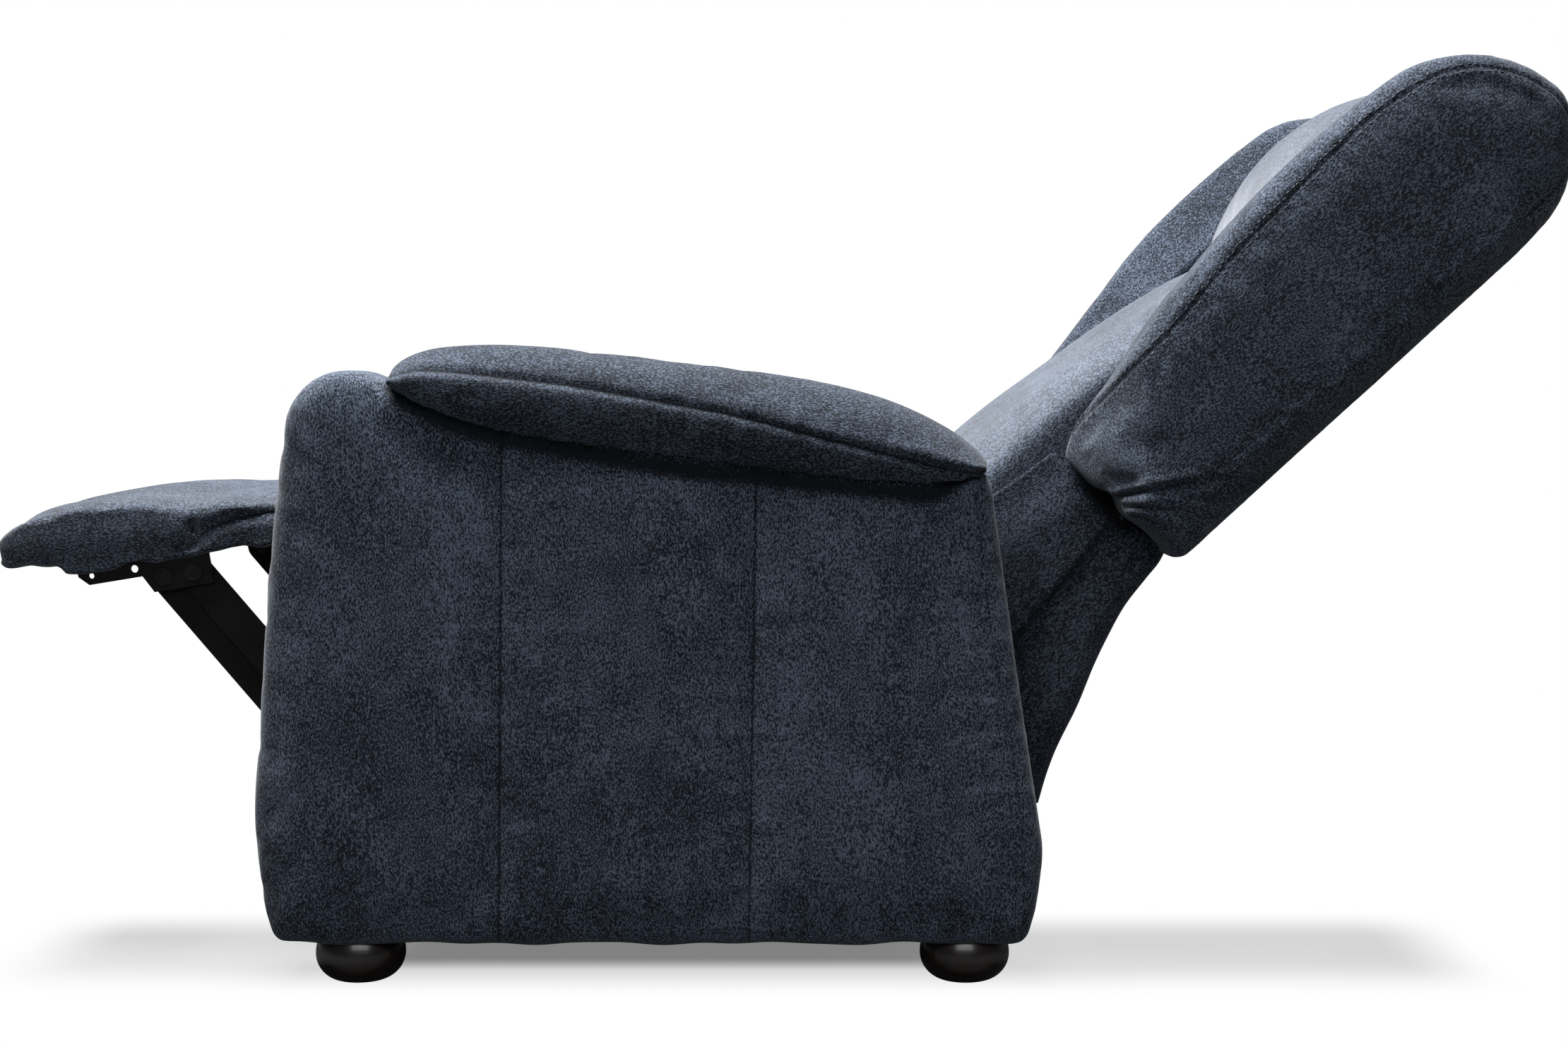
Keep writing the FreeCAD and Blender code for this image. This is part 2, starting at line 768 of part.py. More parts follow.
for name, setback in (("seat_front_bar", "front_bar"), ("seat_rear_bar", "rear_bar")):
    nodes[name] = box(name,
                      ("-(%s)" % layer(2), "chair_front + %s" % setback, "seat_rail_top - seat_bar_height"),
                      (layer(2), "chair_front + %s + seat_bar_width" % setback, "seat_rail_top"))
straps = [box("seat_strap_%d" % index,
              ("(%d) * strap_pitch - strap_width / 2" % (index - 2), "chair_front + front_bar",
               "seat_rail_top"),
              ("(%d) * strap_pitch + strap_width / 2" % (index - 2),
               "chair_front + rear_bar + seat_bar_width", "seat_rail_top + strap_thick"))
          for index in range(5)]
group("seat_straps", straps)
group("seat_link_pins",
      both_sides([rivet(name, layer(2), layer(1) + " + plate_thick", pivot)
                  for name, pivot in (("front_seat_pin", seat_front_pivot),
                                      ("rear_seat_pin", seat_rear_pivot))]))
group("swing_arm_pins", both_sides([rivet("swing_pin", layer(3), layer(2) + " + plate_thick", swing_pivot)]))
group("back_hinge_pins", both_sides([rivet("hinge_pin", layer(3), layer(2) + " + plate_thick", hinge)]))


def seat_section(setback, trim, lift, edge, rise):
    """One section across the seat cushion."""
    half = value("seat_half_width") - trim
    low = value("seat_rail_top + strap_thick + soft_fit") + lift
    high = value("seat_rail_top + strap_thick") + edge
    corners = [(-half, low), (half, low), (half, high), (-half, high)]
    return soft_wire(corners, {1: value("seat_side_swell"), 2: rise, 3: value("seat_side_swell")},
                     lambda spot: Vector(spot[0], front_y + setback, spot[1]))


seat_edge, seat_rise = value("seat_edge"), value("seat_crown")
seat_start, seat_stop = value("seat_front"), value("seat_back")
seat_shape = [(0, 13, 16, 0.78, 0.55), (1 / 6, 0, 0, 1.02, 0.95), (2 / 6, 0, 0, 1.0, 1.0),
              (3 / 6, 0, 0, 0.97, 1.0),
              (4 / 6, 0, 0, 0.93, 1.0), (5 / 6, 0, 0, 0.88, 0.95), (1, 10, 12, 0.68, 0.6)]
nodes["seat_cushion"] = loft("seat_cushion",
                             [seat_section(seat_start + (seat_stop - seat_start) * share, trim, lift,
                                           seat_edge * edge, seat_rise * rise)
                              for share, trim, lift, edge, rise in seat_shape])


seat_deck = new_body("seat_deck")
deck_side = new_sketch(seat_deck, "deck_side")
deck_low = "seat_rail_top + strap_thick"
outline(deck_side, [("seat_back + deck_gap", deck_low), ("seat_back + deck_length", deck_low),
                    ("seat_back + deck_length", deck_low + " + deck_thick"),
                    ("seat_back + deck_gap", deck_low + " + deck_thick")])
deck_block = pad(seat_deck, deck_side, "2 * deck_half")
fillet(seat_deck, deck_block, "deck_edge", lambda edge: edge.BoundBox.ZMin > value(deck_low) + 1)
place(seat_deck, "-deck_half", (front_y, 0))
nodes["seat_deck"] = seat_deck


# Back hinged on the seat rails, drawn upright about the hinge and then laid back

frame_face = "back_rear - panel_thick - soft_fit"
frame_front = frame_face + " - frame_depth"
frame_half = "(%s)" % layer(3)


def lay_back(target):
    """Turn a finished back piece about the hinge into the reclined pose."""
    lean = FreeCAD.Placement(Vector(0, hinge[0], hinge[1]), FreeCAD.Rotation(X_AXIS, back_turn))
    holder = doc.addObject("Part::Compound", target.Name + "_laid")
    holder.Links = [target]
    holder.Placement = lean
    return holder


upright = box("back_upright", (frame_half + " - frame_upright", frame_front, "frame_low"),
              (frame_half, frame_face, "frame_top"))
bars = [box("back_bar_%d" % index, ("-" + frame_half, frame_front, base),
            (frame_half, frame_face, base + " + frame_upright"))
        for index, base in enumerate(("wing_low + bar_gap", "channel_height - frame_upright / 2",
                                      "frame_top - frame_upright"))]
nodes["back_frame"] = lay_back(fused("back_frame_glued", both_sides([upright]) + bars))
nodes["back_panel"] = lay_back(box("back_board", ("-" + frame_half, "back_rear - panel_thick", "panel_low"),
                                   (frame_half, "back_rear", "panel_top")))

bracket_line = "(%s) + frame_depth / 2" % frame_front
bracket_near = "(%s) + plate_inset" % frame_front
bracket_far = "(%s) - plate_inset" % frame_face
back_bracket = new_body("left_back_bracket")
bracket_plate = new_sketch(back_bracket, "back_bracket_side")
outline(bracket_plate,
        [("-hinge_eye", "-hinge_eye"), ("hinge_eye", "-hinge_eye"), (bracket_far, "frame_low + plate_heel"),
         (bracket_far, "frame_low + plate_run"), (bracket_near, "frame_low + plate_run"),
         (bracket_near, "frame_low + plate_toe"),
         ("-hinge_eye", "hinge_eye")])
for across, up, radius in (("0", "0", pivot_hole),
                           (bracket_line, "frame_low + plate_screw_low", "screw_radius"),
                           (bracket_line, "frame_low + plate_screw_high", "screw_radius")):
    add_hole(bracket_plate, across, up, radius)
bracket_block = pad(back_bracket, bracket_plate, "plate_thick")
fillet(back_bracket, bracket_block, "plate_round", runs_along_x)
place(back_bracket, layer(3), hinge, back_turn)
pair(back_bracket, "back_bracket")
screws = []
for index, height in enumerate(("frame_low + plate_screw_low", "frame_low + plate_screw_high")):
    spot = shifted(hinge, turned((value(bracket_line), value(height)), back_turn))
    screws.append(fused("back_screw_%d" % index,
                        [rod("back_screw_shank_%d" % index, layer(3), layer(3) + " + plate_thick",
                             "screw_radius", spot),
                         rod("back_screw_head_%d" % index, layer(3) + " + plate_thick",
                             layer(3) + " + plate_thick + sunk_head", "screw_head", spot)]))
group("back_bracket_screws", both_sides(screws))

wing_inner = "(%s) + plate_thick + wing_gap" % layer(3)
wing = new_body("left_wing")
wing_side = new_sketch(wing, "wing_side")
wing_front = "back_rear - wing_depth"
outline(wing_side,
        [("back_rear", "wing_low"), ("back_rear", "wing_shoulder"), ("wing_crest", "back_top"),
         (wing_front, "wing_brow"), (wing_front + " + wing_waist_trim", "wing_waist"),
         ("wing_toe - wing_toe_cut", "wing_low + wing_toe_cut"),
         ("wing_toe", "wing_low")],
        {1: "wing_rear_swell", 2: "wing_top_swell", 3: "wing_front_swell", 4: "wing_waist_swell"})
wing_block = pad(wing, wing_side, "wing_thick")
wing_soft = fillet(wing, wing_block, "wing_shoulder_round", lambda edge: runs_along_x(edge)
                   and edge.BoundBox.ZMin > value("channel_height"))
wing_soft = fillet(wing, wing_soft, "wing_corner", lambda edge: runs_along_x(edge)
                   and edge.BoundBox.ZMin < value("channel_height"))
fillet(wing, wing_soft, "wing_edge", lies_at_x(value("wing_thick")))
place(wing, wing_inner, hinge, back_turn)


def slanted_block(corners, facing, placement):
    """A block beyond the plane through three corners, on the side that it faces."""
    middle = (corners[0] + corners[1] + corners[2]) / 3
    spread = [middle + (corner - middle) * 4 for corner in corners]
    block = Part.Face(Part.makePolygon(spread + spread[:1])).extrude(facing * value("wing_thick"))
    block.Placement = placement
    return block


def plane_facing(corners, away):
    """The direction square to three corners, on the side of another direction."""
    square = (corners[1] - corners[0]).cross(corners[2] - corners[0]).normalize()
    return square if square.dot(away) > 0 else square * -1


def tapered(source):
    """Thin the wing towards its toe, with a soft edge, and towards its inner front edge."""
    thick, front = value("wing_thick"), value(wing_front)
    low, top, start = value("wing_low"), value("back_top"), value("wing_face_start")
    toe = [Vector(value("wing_toe_thick"), value("wing_toe"), low), Vector(thick, value("wing_bag"), low),
           Vector(thick, front, value("wing_taper_top"))]
    inner = [Vector(0, start, low), Vector(0, start, top), Vector(value("wing_face_cut"), front, low)]
    toe_facing = plane_facing(toe, X_AXIS)
    shape = source.Shape.cut(slanted_block(toe, toe_facing, source.Placement))
    laid = source.Placement.Rotation.multVec(toe_facing)
    toe_face = [face for face in shape.Faces if face.normalAt(0, 0).getAngle(laid) < 1e-6][0]
    shape = shape.makeFillet(value("wing_taper_round"), toe_face.Edges)
    soft = doc.addObject("Part::Feature", "left_wing_tapered")
    soft.Shape = shape.cut(slanted_block(inner, plane_facing(inner, X_AXIS * -1), source.Placement))
    return soft


pair(tapered(wing), "wing")


def back_section(corners, bulges, reach):
    """One upright section of a back cushion at a distance from the middle."""
    def to_space(spot):
        across, up = turned(spot, back_turn)
        return Vector(reach, hinge[0] + across, hinge[1] + up)
    return soft_wire(corners, bulges, to_space)


cushion_back = value(frame_front) - value("soft_fit")
cushion_half = value(layer(3)) + value("plate_thick + cushion_gap")
channel_low = value("channel_height - channel_half")
channel_high = value("channel_height + channel_half")
cushion_span = [(-1, 0.8), (-0.86, 0.94), (-0.45, 1.0), (0, 1.03), (0.45, 1.0), (0.86, 0.94), (1, 0.8)]


def lumbar_section(share, fullness):
    """The lower cushion: full at its foot, drawn in at the channel, and cut away behind the hinge eye."""
    foot = value("cushion_foot")
    corners = [(-value("hinge_eye + lumbar_eye_room"), foot),
               (cushion_back, foot + value("lumbar_foot_rise")),
               (cushion_back, channel_low),
               (-value("channel_depth") * fullness, channel_low),
               (-value("lumbar_crown") * fullness, value("lumbar_crown_height")),
               (-value("lumbar_heel") * fullness, foot)]
    bulges = {3: value("lumbar_swell"), 4: value("lumbar_heel_swell")}
    return back_section(corners, bulges, cushion_half * share)


def head_section(share, fullness):
    """The upper cushion: it swells above the channel and rolls over the top of the frame."""
    over = value("frame_top + head_fit")
    corners = [(cushion_back, channel_high), (cushion_back, over),
               (value("back_rear - head_rear_trim"), over),
               (value("wing_crest"), value("back_top - head_top_trim")),
               (-value("head_crown") * fullness, value("wing_brow - head_brow_drop")),
               (-value("channel_depth") * fullness, channel_high)]
    bulges = {2: value("wing_rear_swell"), 3: value("head_top_swell"), 4: value("head_swell")}
    return back_section(corners, bulges, cushion_half * share)


nodes["lumbar_cushion"] = loft("lumbar_cushion", [lumbar_section(*spot) for spot in cushion_span])
nodes["head_cushion"] = loft("head_cushion", [head_section(*spot) for spot in cushion_span])


# Loose rear flap between the back and the seat

def flap_wire(inset, reach):
    """The flap's side outline: a sagging rear edge, with the sides closing it towards the hinge."""
    edge = value("wing_low - flap_sewn_gap")
    hem = value("flap_hem")
    top = shifted(hinge, turned((value("back_rear - flap_inset") - inset, edge), back_turn))
    low = (hinge[0] + value("flap_tail") - inset, hem)
    fore = (hinge[0] - value("flap_reach"), hem)
    knee = (hinge[0] - value("flap_reach"), hinge[1] - value("flap_knee_drop"))
    brow = shifted(hinge, turned((-value("hinge_eye"), edge), back_turn))
    return soft_wire([fore, low, top, brow, knee], {1: value("flap_sag")},
                     lambda spot: Vector(reach, spot[0], spot[1]))


flap_wall = value("flap_thick")
flap_outer = value("arm_inner - flap_margin")
flap_solid = Part.Face(flap_wire(0, -flap_outer)).extrude(X_AXIS * 2 * flap_outer)
flap_room = flap_outer - flap_wall
flap_hollow = Part.Face(flap_wire(flap_wall, -flap_room)).extrude(X_AXIS * 2 * flap_room)
rear_flap = doc.addObject("Part::Feature", "rear_flap")
rear_flap.Shape = flap_solid.cut(flap_hollow)
nodes["rear_flap"] = rear_flap


# Footrest linkage

def local(point, origin, degrees):
    """A point as expressions in a frame set at an origin and turned."""
    across, up = turned((point[0] - origin[0], point[1] - origin[1]), -degrees)
    return (str(across), str(up))


front_eye = local(lower_front, swing_pivot, 0)
rear_eye = local(lower_rear, swing_pivot, 0)
plate("swing_arm", [("0", "0"), front_eye, rear_eye], "link_round",
      [("0", "0", pivot_hole), front_eye + (pivot_hole,), rear_eye + (pivot_hole,)],
      layer(3), swing_pivot)
arm_run = (lower_rear[0] - swing_pivot[0], lower_rear[1] - swing_pivot[1])
tube_share = value("swing_tube_run") / math.hypot(arm_run[0], arm_run[1])
tube("swing_arm_tube", layer(3), "tube_radius",
     shifted(swing_pivot, (arm_run[0] * tube_share, arm_run[1] * tube_share)))
for name, depth, foot in (("footrest_front_link", layer(5), lower_front),
                          ("footrest_rear_link", layer(4), lower_rear)):
    plate(name, [("0", "0"), ("link_length", "0")], "link_round",
          [("0", "0", pivot_hole), ("link_length", "0", pivot_hole)], depth, foot, link_turn)
group("lower_rivets",
      both_sides([rivet("lower_front_rivet", layer(5), layer(3) + " + plate_thick", lower_front),
                  rivet("lower_rear_rivet", layer(4), layer(3) + " + plate_thick", lower_rear)]))
group("upper_rivets",
      both_sides([rivet("upper_front_rivet", layer(5), layer(3) + " + plate_thick", upper_front),
                  rivet("upper_rear_rivet", layer(4), layer(3) + " + plate_thick", upper_rear)]))

foot_bracket = new_body("left_footrest_bracket")
bracket_side = new_sketch(foot_bracket, "bracket_side")
bracket_head = "flange_height + bracket_flange"
outline(bracket_side,
        [("-link_offset - bracket_nose", "-bracket_belly"), ("bracket_tail", "-bracket_belly"),
         ("bracket_tail", bracket_head),
         ("-bracket_front", bracket_head), ("-bracket_front", "bracket_chin - bracket_nose_height"),
         ("bracket_chin - bracket_front", "-bracket_nose_height"),
         ("-link_offset - bracket_nose_top", "-bracket_nose_height")])
for across, up, radius in (("0", "0", pivot_hole), ("-link_offset", "0", pivot_hole),
                           ("-bracket_front + small_hole_in", "spare_hole_height", "small_hole"),
                           ("-bracket_front + large_hole_in", "spare_hole_height", "large_hole")):
    add_hole(bracket_side, across, up, radius)
pad(foot_bracket, bracket_side, "plate_thick")
bracket_lip = new_sketch(foot_bracket, "bracket_lip")
outline(bracket_lip, [("-bracket_front", "flange_height"), ("bracket_tail", "flange_height"),
                      ("bracket_tail", bracket_head), ("-bracket_front", bracket_head)])
pad(foot_bracket, bracket_lip, "flange_width", True)
place(foot_bracket, layer(3), upper_rear, footrest_tilt)
pair(foot_bracket, "footrest_bracket")


def lay_footrest(target):
    """Tilt a footrest piece about its rear pivot into the open pose."""
    holder = doc.addObject("Part::Compound", target.Name + "_laid")
    holder.Links = [target]
    holder.Placement = FreeCAD.Placement(Vector(0, upper_rear[0], upper_rear[1]),
                                         FreeCAD.Rotation(X_AXIS, footrest_tilt))
    return holder


footrest_ply = box("footrest_ply", ("-board_half - board_lip", "-board_front", bracket_head),
                   ("board_half + board_lip", "board_tail", bracket_head + " + board_thick"))
nodes["footrest_board"] = lay_footrest(footrest_ply)
board_screws = []
for index, along in enumerate(("-bracket_front + board_screw_front", "bracket_tail - board_screw_rear")):
    screw = doc.addObject("Part::Cylinder", "board_screw_%d" % index)
    bind(screw, "Radius", "screw_head")
    bind(screw, "Height", "screw_head_thick")
    screw.Placement.Base = Vector(value(layer(3)) - value("board_screw_in"), value(along),
                                  value("flange_height - screw_head_thick"))
    board_screws.append(screw)
board_screw_sides = both_sides(board_screws)
board_screw_group = doc.addObject("Part::Compound", "footrest_screws")
board_screw_group.Links = board_screw_sides
nodes["footrest_board_screws"] = lay_footrest(board_screw_group)


def footpad_section(along, trim, low, side, rise):
    """One section across the footrest pad, in the footrest's own frame."""
    half = value("footpad_half") - trim
    corners = [(-half, low), (half, low), (half, side), (-half, side)]

    def to_space(spot):
        across, up = turned((along, spot[1]), footrest_tilt)
        return Vector(spot[0], upper_rear[0] + across, upper_rear[1] + up)
    swell = value("footpad_side_swell")
    return soft_wire(corners, {1: swell, 2: rise, 3: swell}, to_space)


pad_low = value(bracket_head + " + footpad_gap")
pad_top = value("footpad_top")
pad_front, pad_tail = value("footpad_front"), value("footpad_tail")
pinch = value("footpad_pinch")


def footpad_rows(first, last, ends, body):
    """Evenly spaced sections between two drawn-in ends."""
    rows = [ends[0]] + body + [ends[1]]
    step = (last - first) / (len(rows) - 1)
    return [footpad_section(first + step * index, trim, pad_low + lift, pad_top - drop, rise)
            for index, (trim, lift, drop, rise) in enumerate(rows)]


pinched = (4, 0, 26, 16)
front_rows = footpad_rows(-pad_front, pinch, ((14, 17, 24, 8), pinched),
                          [(3, 9, 9, 9), (0, 4, 6, 8), (0, 1, 8, 10), (1, 0, 14, 12)])
rear_rows = footpad_rows(pinch, pad_tail, (pinched, (10, 8, 40, 10)), [(1, 0, 26, 11), (2, 0, 30, 10)])
front_lobe, rear_lobe = (Part.makeLoft(rows, True, False, False, 3) for rows in (front_rows, rear_rows))
footpad_soft = front_lobe.fuse(rear_lobe)
room_corner = Vector(-value("board_half + board_lip + soft_fit"), -value("board_front + soft_fit"),
                     value(bracket_head + " - board_lip"))
board_room = Part.makeBox(value("2 * (board_half + board_lip + soft_fit)"),
                          value("board_front + board_tail + 2 * soft_fit"),
                          value("board_thick + board_lip + board_gap"), room_corner)
footrest_place = FreeCAD.Placement(Vector(0, upper_rear[0], upper_rear[1]),
                                   FreeCAD.Rotation(X_AXIS, footrest_tilt))
board_room.Placement = footrest_place.multiply(board_room.Placement)
footrest_pad = doc.addObject("Part::Feature", "footrest_pad")
footrest_pad.Shape = footpad_soft.cut(board_room)
nodes["footrest_pad"] = footrest_pad


# Check every object, then write one file for each part

doc.recompute()
for item in doc.Objects:
    if "Invalid" in item.State or "Error" in item.State:
        raise ValueError("object did not build: " + item.Name)
os.makedirs("parts", exist_ok=True)
for name, item in nodes.items():
    shape = item.Shape
    if shape.isNull() or not shape.isValid() or not shape.Solids:
        raise ValueError("part is not a sound solid: " + name)
    shape.exportStep("parts/%s.step" % name)
boxes = [item.Shape.BoundBox for item in nodes.values()]
lows = [min(getattr(bounds, axis) for bounds in boxes) for axis in ("XMin", "YMin", "ZMin")]
highs = [max(getattr(bounds, axis) for bounds in boxes) for axis in ("XMax", "YMax", "ZMax")]
print("parts", len(nodes), "from", [round(low, 1) for low in lows], "to", [round(high, 1) for high in highs])
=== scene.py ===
import json
import math

import bmesh
import bpy
import numpy as np
from bpy.props import FloatProperty, FloatVectorProperty, IntProperty, PointerProperty
from mathutils import Matrix, Vector
from mathutils.kdtree import KDTree


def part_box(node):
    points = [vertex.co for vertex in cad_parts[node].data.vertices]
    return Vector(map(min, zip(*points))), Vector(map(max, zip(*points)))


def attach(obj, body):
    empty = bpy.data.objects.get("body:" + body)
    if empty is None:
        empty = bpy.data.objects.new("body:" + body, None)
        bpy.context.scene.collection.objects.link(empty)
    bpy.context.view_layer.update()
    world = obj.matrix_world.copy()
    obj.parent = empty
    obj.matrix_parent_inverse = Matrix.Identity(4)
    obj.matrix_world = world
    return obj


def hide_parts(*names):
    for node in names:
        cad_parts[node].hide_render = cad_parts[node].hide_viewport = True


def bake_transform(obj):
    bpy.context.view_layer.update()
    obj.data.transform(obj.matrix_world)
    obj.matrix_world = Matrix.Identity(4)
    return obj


bl_info = {
    "name": "Reclining armchair upholstery",
    "version": (1, 0, 0),
    "blender": (4, 5, 0),
    "location": "View3D > Sidebar > Armchair",
    "description": "Upholsters a push-back reclining armchair in chenille over its frame and linkage",
    "category": "Object",
}

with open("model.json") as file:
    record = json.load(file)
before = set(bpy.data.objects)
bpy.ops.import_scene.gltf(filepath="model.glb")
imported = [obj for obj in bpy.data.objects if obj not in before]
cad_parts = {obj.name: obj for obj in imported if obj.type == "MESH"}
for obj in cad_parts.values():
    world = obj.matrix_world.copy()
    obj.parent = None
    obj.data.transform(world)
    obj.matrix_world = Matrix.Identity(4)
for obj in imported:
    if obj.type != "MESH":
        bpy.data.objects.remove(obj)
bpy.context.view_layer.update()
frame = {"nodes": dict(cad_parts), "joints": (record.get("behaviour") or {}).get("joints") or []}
JOINT_SPOTS = {joint["name"]: Vector(joint["pos_m"]) for joint in frame["joints"]}
HINGE = JOINT_SPOTS["back_recline"]
BACK_LEAN = math.radians(47.4)
FOOTREST_PIVOT = JOINT_SPOTS["footrest_turn"]
FOOTREST_TILT = math.radians(9.3)
BACK_TURN = Matrix.Translation(HINGE) @ Matrix.Rotation(-BACK_LEAN, 4, "X")
FOOTREST_TURN = Matrix.Translation(FOOTREST_PIVOT) @ Matrix.Rotation(FOOTREST_TILT, 4, "X")
SIDEWAYS, REARWARD, UPWARD = 0, 1, 2
FULL_TURN = 2 * math.pi
MM = 0.001
TINY = 1e-12


# Settings

class FabricSettings(bpy.types.PropertyGroup):
    """Colours and pile of the chenille"""
    # The hollow colour is the darkest tone of the pile, and also the colour that the painted shade in seams,
    # pleats, creases and under the arm pads leads to.
    hollow: FloatVectorProperty(name="Hollow colour", description="Colour between the tufts and in the seams",
                                subtype="COLOR", size=3, min=0, max=1, default=(0.0035, 0.0046, 0.0075))
    ground: FloatVectorProperty(name="Ground colour", description="Colour of most of the pile",
                                subtype="COLOR", size=3, min=0, max=1, default=(0.020, 0.0275, 0.042))
    tip: FloatVectorProperty(name="Tip colour", description="Colour of the brushed pile tips",
                             subtype="COLOR", size=3, min=0, max=1, default=(0.070, 0.088, 0.120))
    sheen_tint: FloatVectorProperty(name="Sheen tint", description="Colour of the light on the pile tips",
                                    subtype="COLOR", size=3, min=0, max=1, default=(0.90, 0.92, 0.96))
    sheen: FloatProperty(name="Sheen", description="How much light the pile tips catch at a low angle",
                         subtype="FACTOR", min=0, max=1, default=0.2)
    sheen_roughness: FloatProperty(name="Sheen roughness", description="How far the sheen spreads",
                                   subtype="FACTOR", min=0, max=1, default=0.5)
    tuft: FloatProperty(name="Tuft width", description="Width of one tuft of pile",
                        subtype="DISTANCE", unit="LENGTH", min=0.0005, max=0.02, default=0.0015)
    tuft_length: FloatProperty(name="Tuft length", description="Length of one tuft along the nap",
                               subtype="DISTANCE", unit="LENGTH", min=0.0005, max=0.05, default=0.0026)
    # The seam line also sets the width of the painted shade along each seam.
    seam_line: FloatProperty(name="Seam line", description="Half width of the sewn line itself",
                             subtype="DISTANCE", unit="LENGTH", min=0.0003, max=0.01, default=0.0013)
    patch: FloatProperty(name="Patch size", description="Size of the patches where the nap is brushed over",
                         subtype="DISTANCE", unit="LENGTH", min=0.01, max=1, default=0.11)


class SoftSettings(bpy.types.PropertyGroup):
    """How the padded pieces are filled and sewn"""
    pressure: FloatProperty(name="Filling pressure", description="Pressure of the filling under the cover",
                            min=0, max=20, default=4.0)
    steps: IntProperty(name="Filling steps", description="Steps of the cloth simulation",
                       min=2, max=60, default=14)
    arm_voxel: FloatProperty(name="Arm grid", description="Mesh size of the arm covers",
                             subtype="DISTANCE", unit="LENGTH", min=0.003, max=0.02, default=0.007)
    cushion_voxel: FloatProperty(name="Cushion grid", description="Mesh size of the seat and back cushions",
                                 subtype="DISTANCE", unit="LENGTH", min=0.003, max=0.02, default=0.0065)
    pad_voxel: FloatProperty(name="Pad grid", description="Mesh size of the wings and pads",
                             subtype="DISTANCE", unit="LENGTH", min=0.003, max=0.02, default=0.0048)
    seam_depth: FloatProperty(name="Seam depth", description="How deep a plain seam sinks",
                              subtype="DISTANCE", unit="LENGTH", min=0, max=0.01, default=0.0022)
    seam_width: FloatProperty(name="Seam width", description="Half width of a plain seam",
                              subtype="DISTANCE", unit="LENGTH", min=0.001, max=0.02, default=0.0042)
    stitch: FloatProperty(name="Stitch length", description="Length of one stitch",
                          subtype="DISTANCE", unit="LENGTH", min=0.001, max=0.02, default=0.0046)
    stitch_pitch: FloatProperty(name="Stitch pitch", description="Distance from stitch to stitch",
                                subtype="DISTANCE", unit="LENGTH", min=0.001, max=0.02, default=0.0066)
    thread: FloatProperty(name="Thread", description="Thickness of the thread",
                          subtype="DISTANCE", unit="LENGTH", min=0.0002, max=0.003, default=0.0011)


class StageSettings(bpy.types.PropertyGroup):
    """Camera, lamps and floor"""
    lens: FloatProperty(name="Lens", description="Focal length in millimetres on a 36 mm sensor",
                        min=10, max=300, default=56.94)
    distance: FloatProperty(name="Distance", description="From the chair's middle plane to the camera",
                            subtype="DISTANCE", unit="LENGTH", min=1, max=20, default=2.8)
    along: FloatProperty(name="Along", description="Camera's place along the chair",
                         subtype="DISTANCE", unit="LENGTH", min=-2, max=2, default=0.0125)
    height: FloatProperty(name="Height", description="Camera height over the floor",
                          subtype="DISTANCE", unit="LENGTH", min=0, max=5, default=0.60)
    pitch: FloatProperty(name="Pitch", description="How far the camera looks down",
                         subtype="ANGLE", unit="ROTATION", min=-1.5, max=1.5, default=math.radians(3.2505))
    ambient: FloatProperty(name="Ambient", description="Strength of the even light from all round",
                           min=0, max=5, default=0.07)
    key: FloatProperty(name="Side lamp", description="Power of the wide soft lamp on the camera side",
                       subtype="POWER", unit="POWER", min=0, max=2000, default=46.0)
    fill: FloatProperty(name="Fill lamp", description="Power of the soft lamp behind the far side",
                        subtype="POWER", unit="POWER", min=0, max=2000, default=60.0)
    top: FloatProperty(name="Top lamp", description="Power of the wide soft lamp overhead",
                       subtype="POWER", unit="POWER", min=0, max=2000, default=500.0)


# Small mesh helpers

MERGE_DISTANCE = 0.00002
EASE_FACTOR = 0.5
RIPPLE_OCTAVES = (1.0, 1.63, 2.41)
RIPPLE_PEAK = 1.6
DRIFT_OCTAVES = (1.0, 1.0, 1.9, 1.9, 3.1)
DRIFT_PEAK = 2.2


def make_active(piece):
    """Leave only this piece selected and active."""
    bpy.ops.object.select_all(action="DESELECT")
    piece.select_set(True)
    bpy.context.view_layer.objects.active = piece


def new_piece(name, mesh):
    """A new object at the origin that holds a mesh."""
    piece = bpy.data.objects.new(name, mesh)
    bpy.context.scene.collection.objects.link(piece)
    mesh.name = name
    return piece


def in_edit_mode(piece, change, **options):
    """Run one mesh operator on the whole of a piece."""
    make_active(piece)
    bpy.ops.object.mode_set(mode="EDIT")
    bpy.ops.mesh.select_all(action="SELECT")
    change(**options)
    bpy.ops.object.mode_set(mode="OBJECT")


def copy_of(node, name):
    """A new object with a merged copy of a CAD node's mesh."""
    piece = new_piece(name, frame["nodes"][node].data.copy())
    in_edit_mode(piece, bpy.ops.mesh.remove_doubles, threshold=MERGE_DISTANCE)
    return piece


def twin(piece, name):
    """The mirror image of a left-hand piece, with its own mesh."""
    other = new_piece(name, piece.data.copy())
    other.data.transform(Matrix.Scale(-1, 4, Vector((1, 0, 0))))
    other.data.flip_normals()
    return other


def shade_smooth(piece):
    """Smooth shading over the whole piece."""
    make_active(piece)
    bpy.ops.object.shade_smooth()


def apply_all(piece):
    """Apply every modifier of a piece in order."""
    make_active(piece)
    for modifier in list(piece.modifiers):
        bpy.ops.object.modifier_apply(modifier=modifier.name)


def ease(piece, passes):
    """Smooth a piece evenly."""
    smooth = piece.modifiers.new("Ease", "SMOOTH")
    smooth.factor = EASE_FACTOR
    smooth.iterations = passes
    apply_all(piece)


def soften(piece, voxel, passes, turn=None):
    """An even grid over the piece, laid square to a turned frame, with the piece's edges eased."""
    turn = turn or Matrix.Identity(4)
    piece.data.transform(turn.inverted())
    grid = piece.modifiers.new("Grid", "REMESH")
    grid.mode = "VOXEL"
    grid.voxel_size = voxel
    ease(piece, passes)
    piece.data.transform(turn)


def refine(piece):
    """One subdivision, applied."""
    finer = piece.modifiers.new("Finer", "SUBSURF")
    finer.levels = 1
    finer.render_levels = 1
    apply_all(piece)


